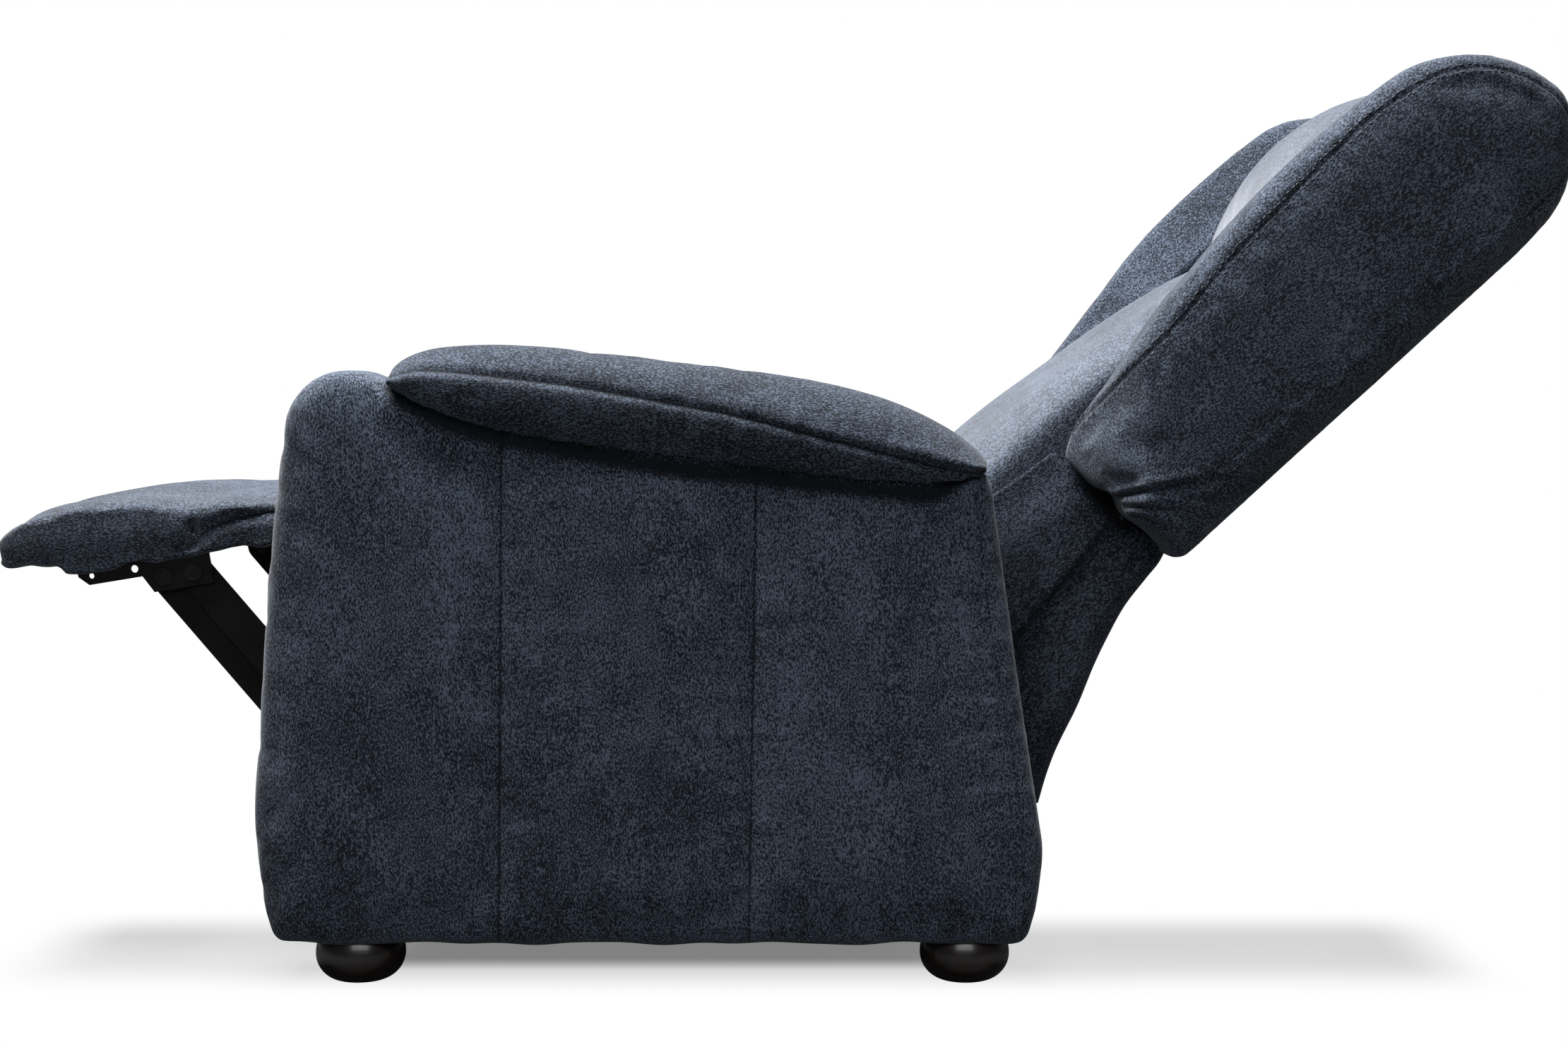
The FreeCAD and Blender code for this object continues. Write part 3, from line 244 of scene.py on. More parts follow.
def vectors_of(items, name):
    """One vector of each item, as rows."""
    flat = np.empty(len(items) * 3, np.float32)
    items.foreach_get(name, flat)
    return flat.reshape(-1, 3).astype(float)


def points_of(piece):
    """The place of every point."""
    return vectors_of(piece.data.vertices, "co")


def normals_of(piece):
    """The way that every point faces."""
    return vectors_of(piece.data.vertex_normals, "vector")


def set_points(piece, points):
    """Put every point in its new place."""
    piece.data.vertices.foreach_set("co", points.astype(np.float32).ravel())
    piece.data.update()


def push(piece, amount):
    """Move every point along its normal by its own amount."""
    set_points(piece, points_of(piece) + normals_of(piece) * amount[:, None])


def ramp(values, low, high):
    """0 below low, 1 above high, and smooth between."""
    share = np.clip((values - low) / (high - low), 0, 1)
    return share * share * (3 - 2 * share)


def between(values, rise, fall):
    """1 past the rise and before the fall, 0 outside them, and smooth in both."""
    return ramp(values, *rise) * (1 - ramp(values, *fall))


def bell(distance, width):
    """1 at no distance, and smoothly less with every width."""
    return np.exp(-(distance / width) ** 2)


def ripple(along, pitch, seed):
    """An uneven wave along a seam, between about -1 and 1, the same on every run."""
    draw = np.random.default_rng(seed)
    total = np.zeros_like(along)
    for octave in RIPPLE_OCTAVES:
        total += np.sin(FULL_TURN * along / pitch * octave + draw.uniform(0, FULL_TURN)) / octave
    return total / RIPPLE_PEAK


def drift(points, size, seed):
    """Slow uneven swelling over a surface, between about -1 and 1, the same on every run."""
    draw = np.random.default_rng(seed)
    total = np.zeros(len(points))
    for octave in DRIFT_OCTAVES:
        heading = draw.normal(size=3)
        heading /= np.linalg.norm(heading)
        total += np.sin(points @ heading * FULL_TURN / size * octave + draw.uniform(0, FULL_TURN)) / octave
    return total / DRIFT_PEAK


# Lines in a side view

def in_mm(*corners):
    """Corner points in metres from corner points in millimetres."""
    return [(across * MM, up * MM) for across, up in corners]


def smooth_line(corners, step=0.004):
    """A smooth line through corner points, with points about a step apart."""
    spots = np.array(corners, float)
    padded = np.vstack([2 * spots[0] - spots[1], spots, 2 * spots[-1] - spots[-2]])
    drawn = []
    for index in range(len(spots) - 1):
        before, start, end, after = padded[index:index + 4]
        count = max(2, int(np.linalg.norm(end - start) / step))
        for share in np.linspace(0, 1, count, endpoint=False):
            drawn.append(0.5 * (2 * start + (end - before) * share
                                + (2 * before - 5 * start + 4 * end - after) * share ** 2
                                + (3 * start - before - 3 * end + after) * share ** 3))
    drawn.append(spots[-1])
    return np.array(drawn)


def line_lengths(line):
    """How far along the line each of its points lies."""
    return np.concatenate([[0], np.cumsum(np.linalg.norm(np.diff(line, axis=0), axis=1))])


def spots_along(line, places):
    """The points that lie at given lengths along a line."""
    lengths = line_lengths(line)
    return np.column_stack([np.interp(places, lengths, line[:, axis]) for axis in range(2)])


def to_line(spots, line):
    """For flat points: distance from a line, how far along it the nearest spot lies, and their side of it."""
    lengths = line_lengths(line)
    nearest = np.full(len(spots), np.inf)
    along = np.zeros(len(spots))
    side = np.zeros(len(spots))
    for index in range(len(line) - 1):
        start = line[index]
        run = line[index + 1] - start
        offset = spots - start
        share = np.clip(offset @ run / max(run @ run, TINY), 0, 1)
        away = np.linalg.norm(offset - share[:, None] * run, axis=1)
        closer = away < nearest
        nearest[closer] = away[closer]
        along[closer] = lengths[index] + share[closer] * math.sqrt(run @ run)
        side[closer] = np.sign(run[0] * offset[closer, 1] - run[1] * offset[closer, 0])
    return nearest, along, side


def side_view(points):
    """Points as seen from the side: along the chair and up."""
    return points[:, REARWARD:UPWARD + 1]


def turned_view(points, pivot, angle):
    """Points as seen from the side in a frame turned about a pivot."""
    along = points[:, REARWARD] - pivot.y
    up = points[:, UPWARD] - pivot.z
    return np.column_stack([along * math.cos(angle) + up * math.sin(angle),
                            up * math.cos(angle) - along * math.sin(angle)])


def back_view(points):
    """Points as seen from the side in the back's own upright frame about its hinge."""
    return turned_view(points, HINGE, -BACK_LEAN)


def footrest_view(points):
    """Points as seen from the side in the footrest's own level frame about its rear pivot."""
    return turned_view(points, FOOTREST_PIVOT, FOOTREST_TILT)


def back_heading(piece):
    """The way that every point faces in the back's own frame: rearwards and up."""
    points = points_of(piece)
    return back_view(points + normals_of(piece)) - back_view(points)


def out_of_back(rearward, upward):
    """A move in the back's own frame, as a move along the chair and a move up."""
    return (rearward * math.cos(BACK_LEAN) + upward * math.sin(BACK_LEAN),
            upward * math.cos(BACK_LEAN) - rearward * math.sin(BACK_LEAN))


def shift_in_back(piece, rearward, upward):
    """Move points in the plane of the leaning back."""
    points = points_of(piece)
    along, up = out_of_back(rearward, upward)
    points[:, REARWARD] += along
    points[:, UPWARD] += up
    set_points(piece, points)


# Filling and sewing

HOLD_LEVELS = 10
CLOTH_QUALITY = 4
CLOTH_MASS = 0.3
SEAM_MARK = (0.007, 0.012)
FAR_FROM_SEAM = 1.0
FOLD_RIDGE = 0.7
FOLD_HOLLOW = 0.25
FOLD_HOLLOW_DEPTH = 1.25
FOLD_HOLLOW_WIDTH = 0.55
# How much painted shade a pleat's hollow takes, and how wide it is.
FOLD_PAINTED_SHADE = 140
FOLD_PAINTED_SHADE_WIDTH = 0.45
FOLD_REACH = 4
FOLD_FADE = 0.7


def fill(piece, sewn, most, slack, easing=2):
    """Blow the piece up as cloth held where it is sewn, let no point move further than most, and ease it."""
    settings = bpy.context.scene.armchair_soft
    before = points_of(piece)
    group = piece.vertex_groups.new(name="sewn")
    for level in range(1, HOLD_LEVELS + 1):
        chosen = np.nonzero(np.round(sewn * HOLD_LEVELS) == level)[0]
        if len(chosen):
            group.add(chosen.tolist(), level / HOLD_LEVELS, "REPLACE")
    cloth = piece.modifiers.new("Cloth", "CLOTH")
    cloth.settings.quality = CLOTH_QUALITY
    cloth.settings.mass = CLOTH_MASS
    cloth.settings.use_pressure = True
    cloth.settings.uniform_pressure_force = settings.pressure
    cloth.settings.effector_weights.gravity = 0
    cloth.settings.vertex_group_mass = group.name
    cloth.settings.shrink_min = -slack
    cloth.point_cache.frame_start = 1
    cloth.point_cache.frame_end = settings.steps
    for step in range(1, settings.steps + 1):
        bpy.context.scene.frame_set(step)
    apply_all(piece)
    bpy.context.scene.frame_set(1)
    moved = points_of(piece) - before
    length = np.linalg.norm(moved, axis=1)
    allowed = most * np.tanh(length / most)
    set_points(piece, before + moved * (allowed / np.maximum(length, TINY))[:, None])
    piece.vertex_groups.clear()
    ease(piece, easing)


def kept_values(piece, name, start=0.0):
    """The numbers kept under a name for the piece's points, made when first asked for."""
    count = len(piece.data.vertices)
    if name not in piece.data.attributes:
        piece.data.attributes.new(name, "FLOAT", "POINT")
        keep_values(piece, name, np.full(count, start))
    values = np.empty(count, np.float32)
    piece.data.attributes[name].data.foreach_get("value", values)
    return values


def keep_values(piece, name, values):
    """Keep a number for each point under a name."""
    piece.data.attributes[name].data.foreach_set("value", values.astype(np.float32))


def mark_seam(piece, offset, shown):
    """Keep how far each point lies to one side of its nearest seam, and where seams show, for the painted
    shade along the seam line and its bump.
    """
    old_offset = kept_values(piece, "seam_offset", FAR_FROM_SEAM)
    old_shown = kept_values(piece, "seam_shown")
    near = shown * (1 - ramp(np.abs(offset), *SEAM_MARK))
    closer = np.abs(offset) < np.abs(old_offset)
    keep_values(piece, "seam_offset", np.where(closer, offset, old_offset))
    keep_values(piece, "seam_shown", np.where(closer, near, old_shown))


def paint_shade(piece, amount):
    """Keep how much painted shade a hollow puts on each point, for the colour."""
    keep_values(piece, "hollow", np.maximum(kept_values(piece, "hollow"), np.clip(amount, 0, 1)))


def sew(piece, view, line, shown, depth=None, width=None):
    """Sink a seam along a line in a side view, over the points that are shown there, and mark it for the
    painted shade along the seam.
    """
    settings = bpy.context.scene.armchair_soft
    depth = settings.seam_depth if depth is None else depth
    width = settings.seam_width if width is None else width
    away, _, side = to_line(view(points_of(piece)), line)
    push(piece, -depth * bell(away, width) * shown)
    mark_seam(piece, away * side, shown)


def gather(piece, view, line, shown, height, pitch, reach, seed):
    """Small creases that run away from a seam and die out."""
    away, along, _ = to_line(view(points_of(piece)), line)
    lift = ripple(along, pitch, seed) * np.exp(-away / reach) * (1 - bell(away, width=0.006))
    push(piece, height * lift * shown)


def fold(piece, view, line, shown, height, width):
    """A pleat along a line: a ridge with a sharp hollow beside it, with painted shade in the hollow, fading
    at its far end.
    """
    away, along, side = to_line(view(points_of(piece)), line)
    fade = np.clip(1 - along / line_lengths(line)[-1], 0, 1) ** FOLD_FADE
    near = away < FOLD_REACH * width
    ridge = away * side - FOLD_RIDGE * width
    hollow = away * side + FOLD_HOLLOW * width
    shape = bell(ridge, width) - FOLD_HOLLOW_DEPTH * bell(hollow, FOLD_HOLLOW_WIDTH * width)
    push(piece, height * shape * fade * near * shown)
    paint_shade(piece, FOLD_PAINTED_SHADE * height * bell(hollow, FOLD_PAINTED_SHADE_WIDTH * width) * fade * near * shown)


def swell(piece, shown, height, size, seed):
    """Let the filling stand uneven where the piece is shown."""
    push(piece, height * drift(points_of(piece), size, seed) * shown)


def dress(piece, body, material, nodes):
    """Finish a padded piece: cover, body, and the CAD nodes that it stands for."""
    shade_smooth(piece)
    piece.data.materials.clear()
    piece.data.materials.append(material)
    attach(piece, body)
    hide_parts(*nodes)
    return piece


# Materials

LEVEL_NAP = math.radians(90)
# Each kind's shade makes the same chenille lighter or darker for how the lamps fall on that kind of panel:
# painted light and shade. The turn is the nap's direction, and the sheen is the shader's own sheen.
PILES = {
    "upright": {"turn": 0.0, "shade": 0.94, "sheen": 0.6},
    "level": {"turn": LEVEL_NAP, "shade": 0.72, "sheen": 1.0},
    "pad": {"turn": LEVEL_NAP, "shade": 0.55, "sheen": 0.35},
    "wing": {"turn": BACK_LEAN, "shade": 0.74, "sheen": 0.6},
    "cushion": {"turn": BACK_LEAN, "shade": 0.85, "sheen": 1.8},
    "panel": {"turn": BACK_LEAN, "shade": 0.6, "sheen": 0.5},
}
PATCH_SHARE = 0.16
BLOTCH_SHARE = 0.08
TUFT_SHARE = 0.60
TIP_SHARE = 0.16
TIP_SCALE = 0.42
# Shares of the painted shade along seams and in marked hollows.
SEAM_PAINTED_SHADE = 0.08
HOLLOW_PAINTED_SHADE = 0.15
SEAM_SINK = 0.6
TONE_PLACES = {"hollow": 0.45, "ground": 0.506, "tip": 0.562}


def bare_material(name):
    """A material that holds only its output."""
    material = bpy.data.materials.new(name)
    material.use_nodes = True
    tree = material.node_tree
    tree.nodes.clear()
    return material, tree, tree.nodes.new("ShaderNodeOutputMaterial")


def new_material(name, **sockets):
    """A material with one shader, whose sockets are named with underscores for spaces."""
    material, tree, output = bare_material(name)
    shader = tree.nodes.new("ShaderNodeBsdfPrincipled")
    tree.links.new(shader.outputs["BSDF"], output.inputs["Surface"])
    for socket, value in sockets.items():
        shader.inputs[socket.replace("_", " ")].default_value = value
    return material, tree, shader


def placed(tree, turn, sizes):
    """Object coordinates turned about X and counted in sizes."""
    where = tree.nodes.new("ShaderNodeTexCoord")
    turned = tree.nodes.new("ShaderNodeMapping")
    turned.inputs["Rotation"].default_value = (turn, 0, 0)
    tree.links.new(where.outputs["Object"], turned.inputs["Vector"])
    counted = tree.nodes.new("ShaderNodeMapping")
    counted.inputs["Scale"].default_value = tuple(1 / size for size in sizes)
    tree.links.new(turned.outputs["Vector"], counted.inputs["Vector"])
    return counted.outputs["Vector"]


def noise(tree, sizes, detail, roughness, distortion=0.0, turn=0.0):
    """An uneven pattern whose grains have the given sizes."""
    node = tree.nodes.new("ShaderNodeTexNoise")
    node.inputs["Scale"].default_value = 1.0
    node.inputs["Detail"].default_value = detail
    node.inputs["Roughness"].default_value = roughness
    node.inputs["Distortion"].default_value = distortion
    tree.links.new(placed(tree, turn, sizes), node.inputs["Vector"])
    return node.outputs["Fac"]


def calculate(tree, operation, first, second):
    """One sum with two values, each a number or a socket."""
    node = tree.nodes.new("ShaderNodeMath")
    node.operation = operation
    for socket, item in zip(node.inputs, (first, second)):
        if isinstance(item, (int, float)):
            socket.default_value = item
        else:
            tree.links.new(item, socket)
    return node.outputs["Value"]


def weighted(tree, first, first_share, second, second_share):
    """The sum of two values, each times its share."""
    return calculate(tree, "ADD", calculate(tree, "MULTIPLY", first, first_share),
                     calculate(tree, "MULTIPLY", second, second_share))


def colour(tree, shader, factor, stops):
    """Colour the shader by a factor, from stop to stop."""
    node = tree.nodes.new("ShaderNodeValToRGB")
    marks = node.color_ramp.elements
    while len(marks) < len(stops):
        marks.new(0.5)
    for mark, (place, tone) in zip(marks, stops):
        mark.position = place
        mark.color = (*tone, 1)
    tree.links.new(factor, node.inputs["Fac"])
    tree.links.new(node.outputs["Color"], shader.inputs["Base Color"])


def bump(tree, shader, height, distance, strength):
    """Raise the surface by a height."""
    node = tree.nodes.new("ShaderNodeBump")
    node.inputs["Distance"].default_value = distance
    node.inputs["Strength"].default_value = strength
    tree.links.new(height, node.inputs["Height"])
    tree.links.new(node.outputs["Normal"], shader.inputs["Normal"])


def attribute(tree, name):
    """A number kept for each point."""
    node = tree.nodes.new("ShaderNodeAttribute")
    node.attribute_name = name
    return node.outputs["Fac"]


def seam_line(tree, half_width):
    """1 on a sewn line and 0 away from it, for the painted shade and the sunk bump along the seam."""
    away = calculate(tree, "ABSOLUTE", attribute(tree, "seam_offset"), 0)
    counted = calculate(tree, "DIVIDE", away, half_width)
    fall = calculate(tree, "MULTIPLY", calculate(tree, "POWER", counted, 2), -1)
    return calculate(tree, "MULTIPLY", calculate(tree, "POWER", 2.718, fall), attribute(tree, "seam_shown"))


def chenille(name, turn, shade, sheen):
    """Short pile brushed one way: tufts along the nap, brushed patches, painted shade along the seams and in
    the marked hollows, and a pale sheen; the shade scales the colours for painted light and shade on each
    kind of panel.
    """
    settings = bpy.context.scene.armchair_fabric
    material, tree, shader = new_material(
        name, Roughness=0.95, Specular_IOR_Level=0.1, Sheen_Weight=settings.sheen * sheen,
        Sheen_Roughness=settings.sheen_roughness, Sheen_Tint=(*settings.sheen_tint, 1))
    wide, long, patch = settings.tuft, settings.tuft_length, settings.patch
    patches = noise(tree, (patch, patch, patch * 1.4), detail=5.0, roughness=0.66, distortion=0.4, turn=turn)
    blotches = noise(tree, (patch / 5, patch / 5, patch / 3.4), detail=3.0, roughness=0.6, distortion=0.3,
                     turn=turn)
    tufts = noise(tree, (wide, wide, long), detail=2.0, roughness=0.6, turn=turn)
    tips = noise(tree, (wide * TIP_SCALE, wide * TIP_SCALE, long * TIP_SCALE), detail=1.0, roughness=0.5,
                 turn=turn)
    brushed = weighted(tree, patches, PATCH_SHARE, blotches, BLOTCH_SHARE)
    tufted = weighted(tree, tufts, TUFT_SHARE, tips, TIP_SHARE)
    seam = seam_line(tree, settings.seam_line)
    # Painted shade: darker along the seams and in the marked hollows.
    painted_shade = weighted(tree, seam, SEAM_PAINTED_SHADE, attribute(tree, "hollow"), HOLLOW_PAINTED_SHADE)
    level = calculate(tree, "SUBTRACT", calculate(tree, "ADD", brushed, tufted), painted_shade)
    colour(tree, shader, level, [(place, tuple(part * shade for part in getattr(settings, tone)))
                                 for tone, place in TONE_PLACES.items()])
    raised = calculate(tree, "SUBTRACT", tufted, calculate(tree, "MULTIPLY", seam, SEAM_SINK))
    bump(tree, shader, raised, distance=0.0014, strength=0.38)
    return material


def pile(kind):
    """The chenille of one kind of panel, with that kind's painted light and shade, made when first asked for.
    """
    name = "chenille_" + kind
    return bpy.data.materials.get(name) or chenille(name, **PILES[kind])


def powder_coat():
    """Matt black powder-coated steel with a fine orange peel."""
    material, tree, shader = new_material("black_powder_coat", Roughness=0.55, Specular_IOR_Level=0.12)
    cloud = noise(tree, (0.05, 0.05, 0.05), detail=3.0, roughness=0.6)
    colour(tree, shader, cloud, [(0.3, (0.0012, 0.0012, 0.0013)), (0.7, (0.003, 0.003, 0.0032))])
    peel = noise(tree, (0.0012, 0.0012, 0.0012), detail=2.0, roughness=0.5)
    bump(tree, shader, peel, distance=0.0002, strength=0.35)
    return material


def rivet_steel():
    """Darkened bare steel of the pins and screws."""
    material, tree, shader = new_material("dark_rivet_steel", Metallic=0.85, Roughness=0.42)
    scuff = noise(tree, (0.002, 0.002, 0.002), detail=3.0, roughness=0.6)
    colour(tree, shader, scuff, [(0.35, (0.006, 0.006, 0.0065)), (0.7, (0.02, 0.02, 0.022))])
    bump(tree, shader, scuff, distance=0.0002, strength=0.2)
    return material


def timber(name, dark, pale, ring, gloss, coat=0.0):
    """Sawn or turned timber with grain along the chair."""
    material, tree, shader = new_material(name, Roughness=gloss, Coat_Weight=coat, Coat_Roughness=0.12)
    rings = noise(tree, (ring, ring * 14, ring), detail=5.0, roughness=0.6, distortion=0.8)
    fibres = noise(tree, (ring * 0.12, ring * 5, ring * 0.12), detail=2.0, roughness=0.5)
    colour(tree, shader, weighted(tree, rings, 0.7, fibres, 0.3), [(0.35, dark), (0.65, pale)])
    bump(tree, shader, fibres, distance=0.0003, strength=0.25)
    return material


def webbing():
    """Black elastic webbing with pale threads woven along it."""
    material, tree, shader = new_material("elastic_webbing", Roughness=0.85)
    ribs = noise(tree, (0.0016, 0.011, 0.0016), detail=1.0, roughness=0.5)
    picks = noise(tree, (0.02, 0.0019, 0.02), detail=1.0, roughness=0.5)
    weave = calculate(tree, "MULTIPLY", ribs, picks)
    colour(tree, shader, weave, [(0.16, (0.010, 0.010, 0.011)), (0.36, (0.075, 0.073, 0.07))])
    bump(tree, shader, weave, distance=0.0006, strength=0.6)
    return material


def sewing_thread():
    """Twisted dark blue thread, made when first asked for."""
    found = bpy.data.materials.get("sewing_thread")
    if found:
        return found
    material, tree, shader = new_material("sewing_thread", Roughness=0.6)
    twist = noise(tree, (0.0006, 0.0006, 0.0006), detail=1.0, roughness=0.5)
    colour(tree, shader, twist, [(0.3, (0.008, 0.011, 0.018)), (0.7, (0.03, 0.038, 0.055))])
    return material


# Hard parts keep their CAD shape

class ARMCHAIR_OT_hard_parts(bpy.types.Operator):
    """Finish the steel, the timber, the feet and the webbing"""
    bl_idname = "armchair.hard_parts"
    bl_label = "Hard parts"

    def execute(self, context):
        coat, steel, strap = powder_coat(), rivet_steel(), webbing()
        frame_wood = timber("sawn_beech", (0.24, 0.135, 0.065), (0.42, 0.27, 0.15), ring=0.011, gloss=0.62)
        rail_wood = timber("stained_beech", (0.016, 0.011, 0.008), (0.04, 0.027, 0.019), ring=0.011,
                           gloss=0.55)
        foot_wood = timber("espresso_wood", (0.004, 0.0029, 0.0024), (0.011, 0.007, 0.0052), ring=0.006,
                           gloss=0.3, coat=0.3)
        by_last_word = {"foot": foot_wood, "frame": frame_wood, "rail": rail_wood, "board": frame_wood,
                        "straps": strap, "pins": steel, "screws": steel, "rivets": steel}
        by_name = {"back_frame": rail_wood, "left_seat_rail": coat, "right_seat_rail": coat,
                   "left_base_rail": coat, "right_base_rail": coat}
        for name, node in frame["nodes"].items():
            finish = by_name.get(name) or by_last_word.get(name.split("_")[-1]) or coat
            node.data.materials.clear()
            node.data.materials.append(finish)
        return {"FINISHED"}


# Arms

ARM_FRONT_SEAM = in_mm((-263.5, 560), (-266, 300), (-269.5, 50))
ARM_MIDDLE_SEAM = in_mm((-14.5, 520), (-18, 290), (-22.5, 50))
ARM_REAR_SEAM = in_mm((200.5, 490), (215.5, 361), (240.5, 208), (246.5, 93), (242, 50))
PAD_SIDE_SEAM = in_mm((-380, 606), (-340.5, 614), (-263.5, 607), (-186.5, 597), (-109.5, 583), (-33.5, 568),
                      (43.5, 548), (119.5, 529), (188.5, 511), (212, 514))
PAD_LOWER_EDGE = in_mm((-378.5, 606), (-355.5, 583), (-309.5, 560), (-248.5, 543), (-171.5, 530),
                       (-94.5, 518), (-18.5, 509), (58.5, 501), (119.5, 495), (157.5, 493), (184.5, 510))
ARM_HALF_ROOM = 0.0386
PAD_SEAT_HEIGHT = (0.50, 0.56)
PAD_SEAT_START = (-0.40, -0.33)
ARM_HEM_HELD = (0.056, 0.09)
ARM_HEM_HEIGHT = (0.06, 0.16)
ARM_FLARE_HEIGHT = (0.06, 0.34)
ARM_FRONT_EDGE = (-0.49, -0.40)
ARM_REAR_EDGE = (0.18, 0.25)
PAD_MIDDLE = -0.02


class ARMCHAIR_OT_arm_covers(bpy.types.Operator):
    """Cover both arms in seamed panels over the foam"""
    bl_idname = "armchair.arm_covers"
    bl_label = "Arm covers"

    def execute(self, context):
        settings = context.scene.armchair_soft
        piece = copy_of("left_arm_cover", "left_arm_cover_soft")
        seams = [smooth_line(seam) for seam in (ARM_FRONT_SEAM, ARM_MIDDLE_SEAM, ARM_REAR_SEAM)]
        self.fill_room(piece)
        soften(piece, settings.arm_voxel, passes=4)
        facing = normals_of(piece)
        flat = side_view(points_of(piece))
        outer = ramp(facing[:, SIDEWAYS], 0.1, 0.6)
        front = ramp(-facing[:, REARWARD], 0.3, 0.7)
        held = 1 - np.maximum(outer, 0.8 * front)
        for seam in seams:
            held = np.maximum(held, bell(to_line(flat, seam)[0], width=0.007))
        covered = ramp(flat[:, 1], *PAD_SEAT_HEIGHT) * ramp(flat[:, 0], *PAD_SEAT_START)
        held = np.maximum(held, np.maximum(covered, 1 - ramp(flat[:, 1], *ARM_HEM_HELD)))
        fill(piece, held, most=0.007, slack=0.01)
        refine(piece)
        self.sew_panels(piece, seams)
        self.wave_hem(piece)
        dress(piece, "chassis", pile("upright"), ["left_arm_cover"])
        dress(twin(piece, "right_arm_cover_soft"), "chassis", pile("upright"), ["right_arm_cover"])
        return {"FINISHED"}

    def fill_room(self, piece):
        """Fill the frame's room, so that the cover is one closed form."""
        low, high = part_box("left_arm_cover")
        middle = (low[0] + high[0]) / 2
        shell = bmesh.new()
        shell.from_mesh(piece.data)
        inside = [face for face in shell.faces
                  if all(abs(corner.co.x - middle) < ARM_HALF_ROOM for corner in face.verts)]
        bmesh.ops.delete(shell, geom=inside, context="FACES")
        bmesh.ops.holes_fill(shell, edges=[edge for edge in shell.edges if edge.is_boundary])
        bmesh.ops.recalc_face_normals(shell, faces=shell.faces)
        shell.to_mesh(piece.data)
        shell.free()

    def sew_panels(self, piece, seams):
        """Sink the panel seams, ease the panels, draw the cover in under the pad and paint the pad's shadow
        along its lower edge.
        """
        shown = ramp(normals_of(piece)[:, SIDEWAYS], 0.2, 0.6)
        strengths = (1.0, 1.0, 0.4)
        for seed, (seam, strength) in enumerate(zip(seams, strengths)):
            gather(piece, side_view, seam, shown, height=0.0007, pitch=0.03, reach=0.02, seed=seed)
            sew(piece, side_view, seam, shown * strength)
        away = to_line(side_view(points_of(piece)), smooth_line(PAD_LOWER_EDGE))[0]
        swell(piece, shown, height=0.0011, size=0.26, seed=5)
        groove = 0.006
        push(piece, -groove * bell(away, width=0.010) * shown)
        # Painted shadow of the pad along the top of the cover.
        paint_shade(piece, 1.1 * bell(away, width=0.0075) * shown)

    def wave_hem(self, piece):
        """Let the panels flare a little to the front and rear, and let the hem hang and wave."""
        flare_rear, flare_front, wave, drop = 0.003, 0.004, 0.0018, 0.0095
        points = points_of(piece)
        hem = 1 - ramp(points[:, UPWARD], *ARM_HEM_HEIGHT)
        low = 1 - ramp(points[:, UPWARD], *ARM_FLARE_HEIGHT)
        ahead = 1 - ramp(points[:, REARWARD], *ARM_FRONT_EDGE)
        behind = ramp(points[:, REARWARD], *ARM_REAR_EDGE)
        points[:, REARWARD] += low * (flare_rear * behind - flare_front * ahead)
        points[:, UPWARD] += (wave * ripple(points[:, REARWARD], pitch=0.16, seed=8) - drop) * hem
        set_points(piece, points)


class ARMCHAIR_OT_arm_pads(bpy.types.Operator):
    """Sew the pillow tops of both arms"""
    bl_idname = "armchair.arm_pads"
    bl_label = "Arm pads"

    def execute(self, context):
        settings = context.scene.armchair_soft
        piece = copy_of("left_arm_pad", "left_arm_pad_soft")
        soften(piece, settings.pad_voxel, passes=3)
        seam = smooth_line(PAD_SIDE_SEAM)
        facing = normals_of(piece)
        outer = ramp(facing[:, SIDEWAYS], 0.05, 0.4)
        over = ramp(facing[:, UPWARD], 0.05, 0.4)
        away = to_line(side_view(points_of(piece)), seam)[0]
        sewn = bell(away, width=0.006) * ramp(facing[:, SIDEWAYS], 0.0, 0.4)
        fill(piece, np.maximum(1 - np.maximum(outer, over), sewn), most=0.008, slack=0.01, easing=8)
        refine(piece)
        shown = ramp(normals_of(piece)[:, SIDEWAYS], -0.1, 0.3)
        middle = bell(points_of(piece)[:, REARWARD] - PAD_MIDDLE, width=0.16)
        gather(piece, side_view, seam, shown * (0.2 + middle), height=0.0011, pitch=0.04, reach=0.04, seed=11)
        # The seam takes painted shade along it.
        sew(piece, side_view, seam, shown, depth=0.0034, width=0.0045)
        swell(piece, 1, height=0.0006, size=0.15, seed=12)
        dress(piece, "chassis", pile("pad"), ["left_arm_pad"])
        dress(twin(piece, "right_arm_pad_soft"), "chassis", pile("pad"), ["right_arm_pad"])
        return {"FINISHED"}


# Back

WING_SEAM = in_mm((-100, 149), (-105, 186), (-108, 220), (-113, 253), (-118, 320), (-128, 392), (-133, 460),
                  (-137, 536), (-137, 598), (-121, 673), (-81, 718), (-26, 738), (14, 724), (35, 690),
                  (38, 640))
WING_PLEATS = [in_mm((-28, 156), (-14, 186), (4, 214), (20, 240)), in_mm((-16, 156), (2, 176), (26, 196)),
               in_mm((-4, 156), (16, 168), (40, 182))]
WING_TUCKS = [in_mm((-126, 352), (-96, 346), (-62, 352)), in_mm((-120, 322), (-92, 312), (-66, 314)),
              in_mm((-116, 300), (-96, 292), (-80, 291))]
WING_FOOT = (0.15, 0.17)
WING_CROWN_FOOT = (0.60, 0.68)
WING_CROWN_REAR = (0.03, 0.735)
WING_CROWN_SIZE = 0.05
WING_ROLL_START = (0.18, 0.45)
WING_ROLL_END = (0.62, 0.72)
WING_OUTER_HALF = (0.28, 0.34)
WING_LOWER_FRONT = (0.05, 0.13)
WING_LOWER_END = (0.20, 0.34)
WING_MOUTH = -0.026
WING_MOUTH_WIDTH = 0.014
WING_HEM_REAR = (-0.02, 0.03)
WING_HEM_HEIGHT = (0.155, 0.21)
STITCH_START = 0.036
STITCH_END = 0.012
STITCH_OFFSET = 0.0036
STITCH_LOOK = 0.002
STITCH_LIFT = 0.0002


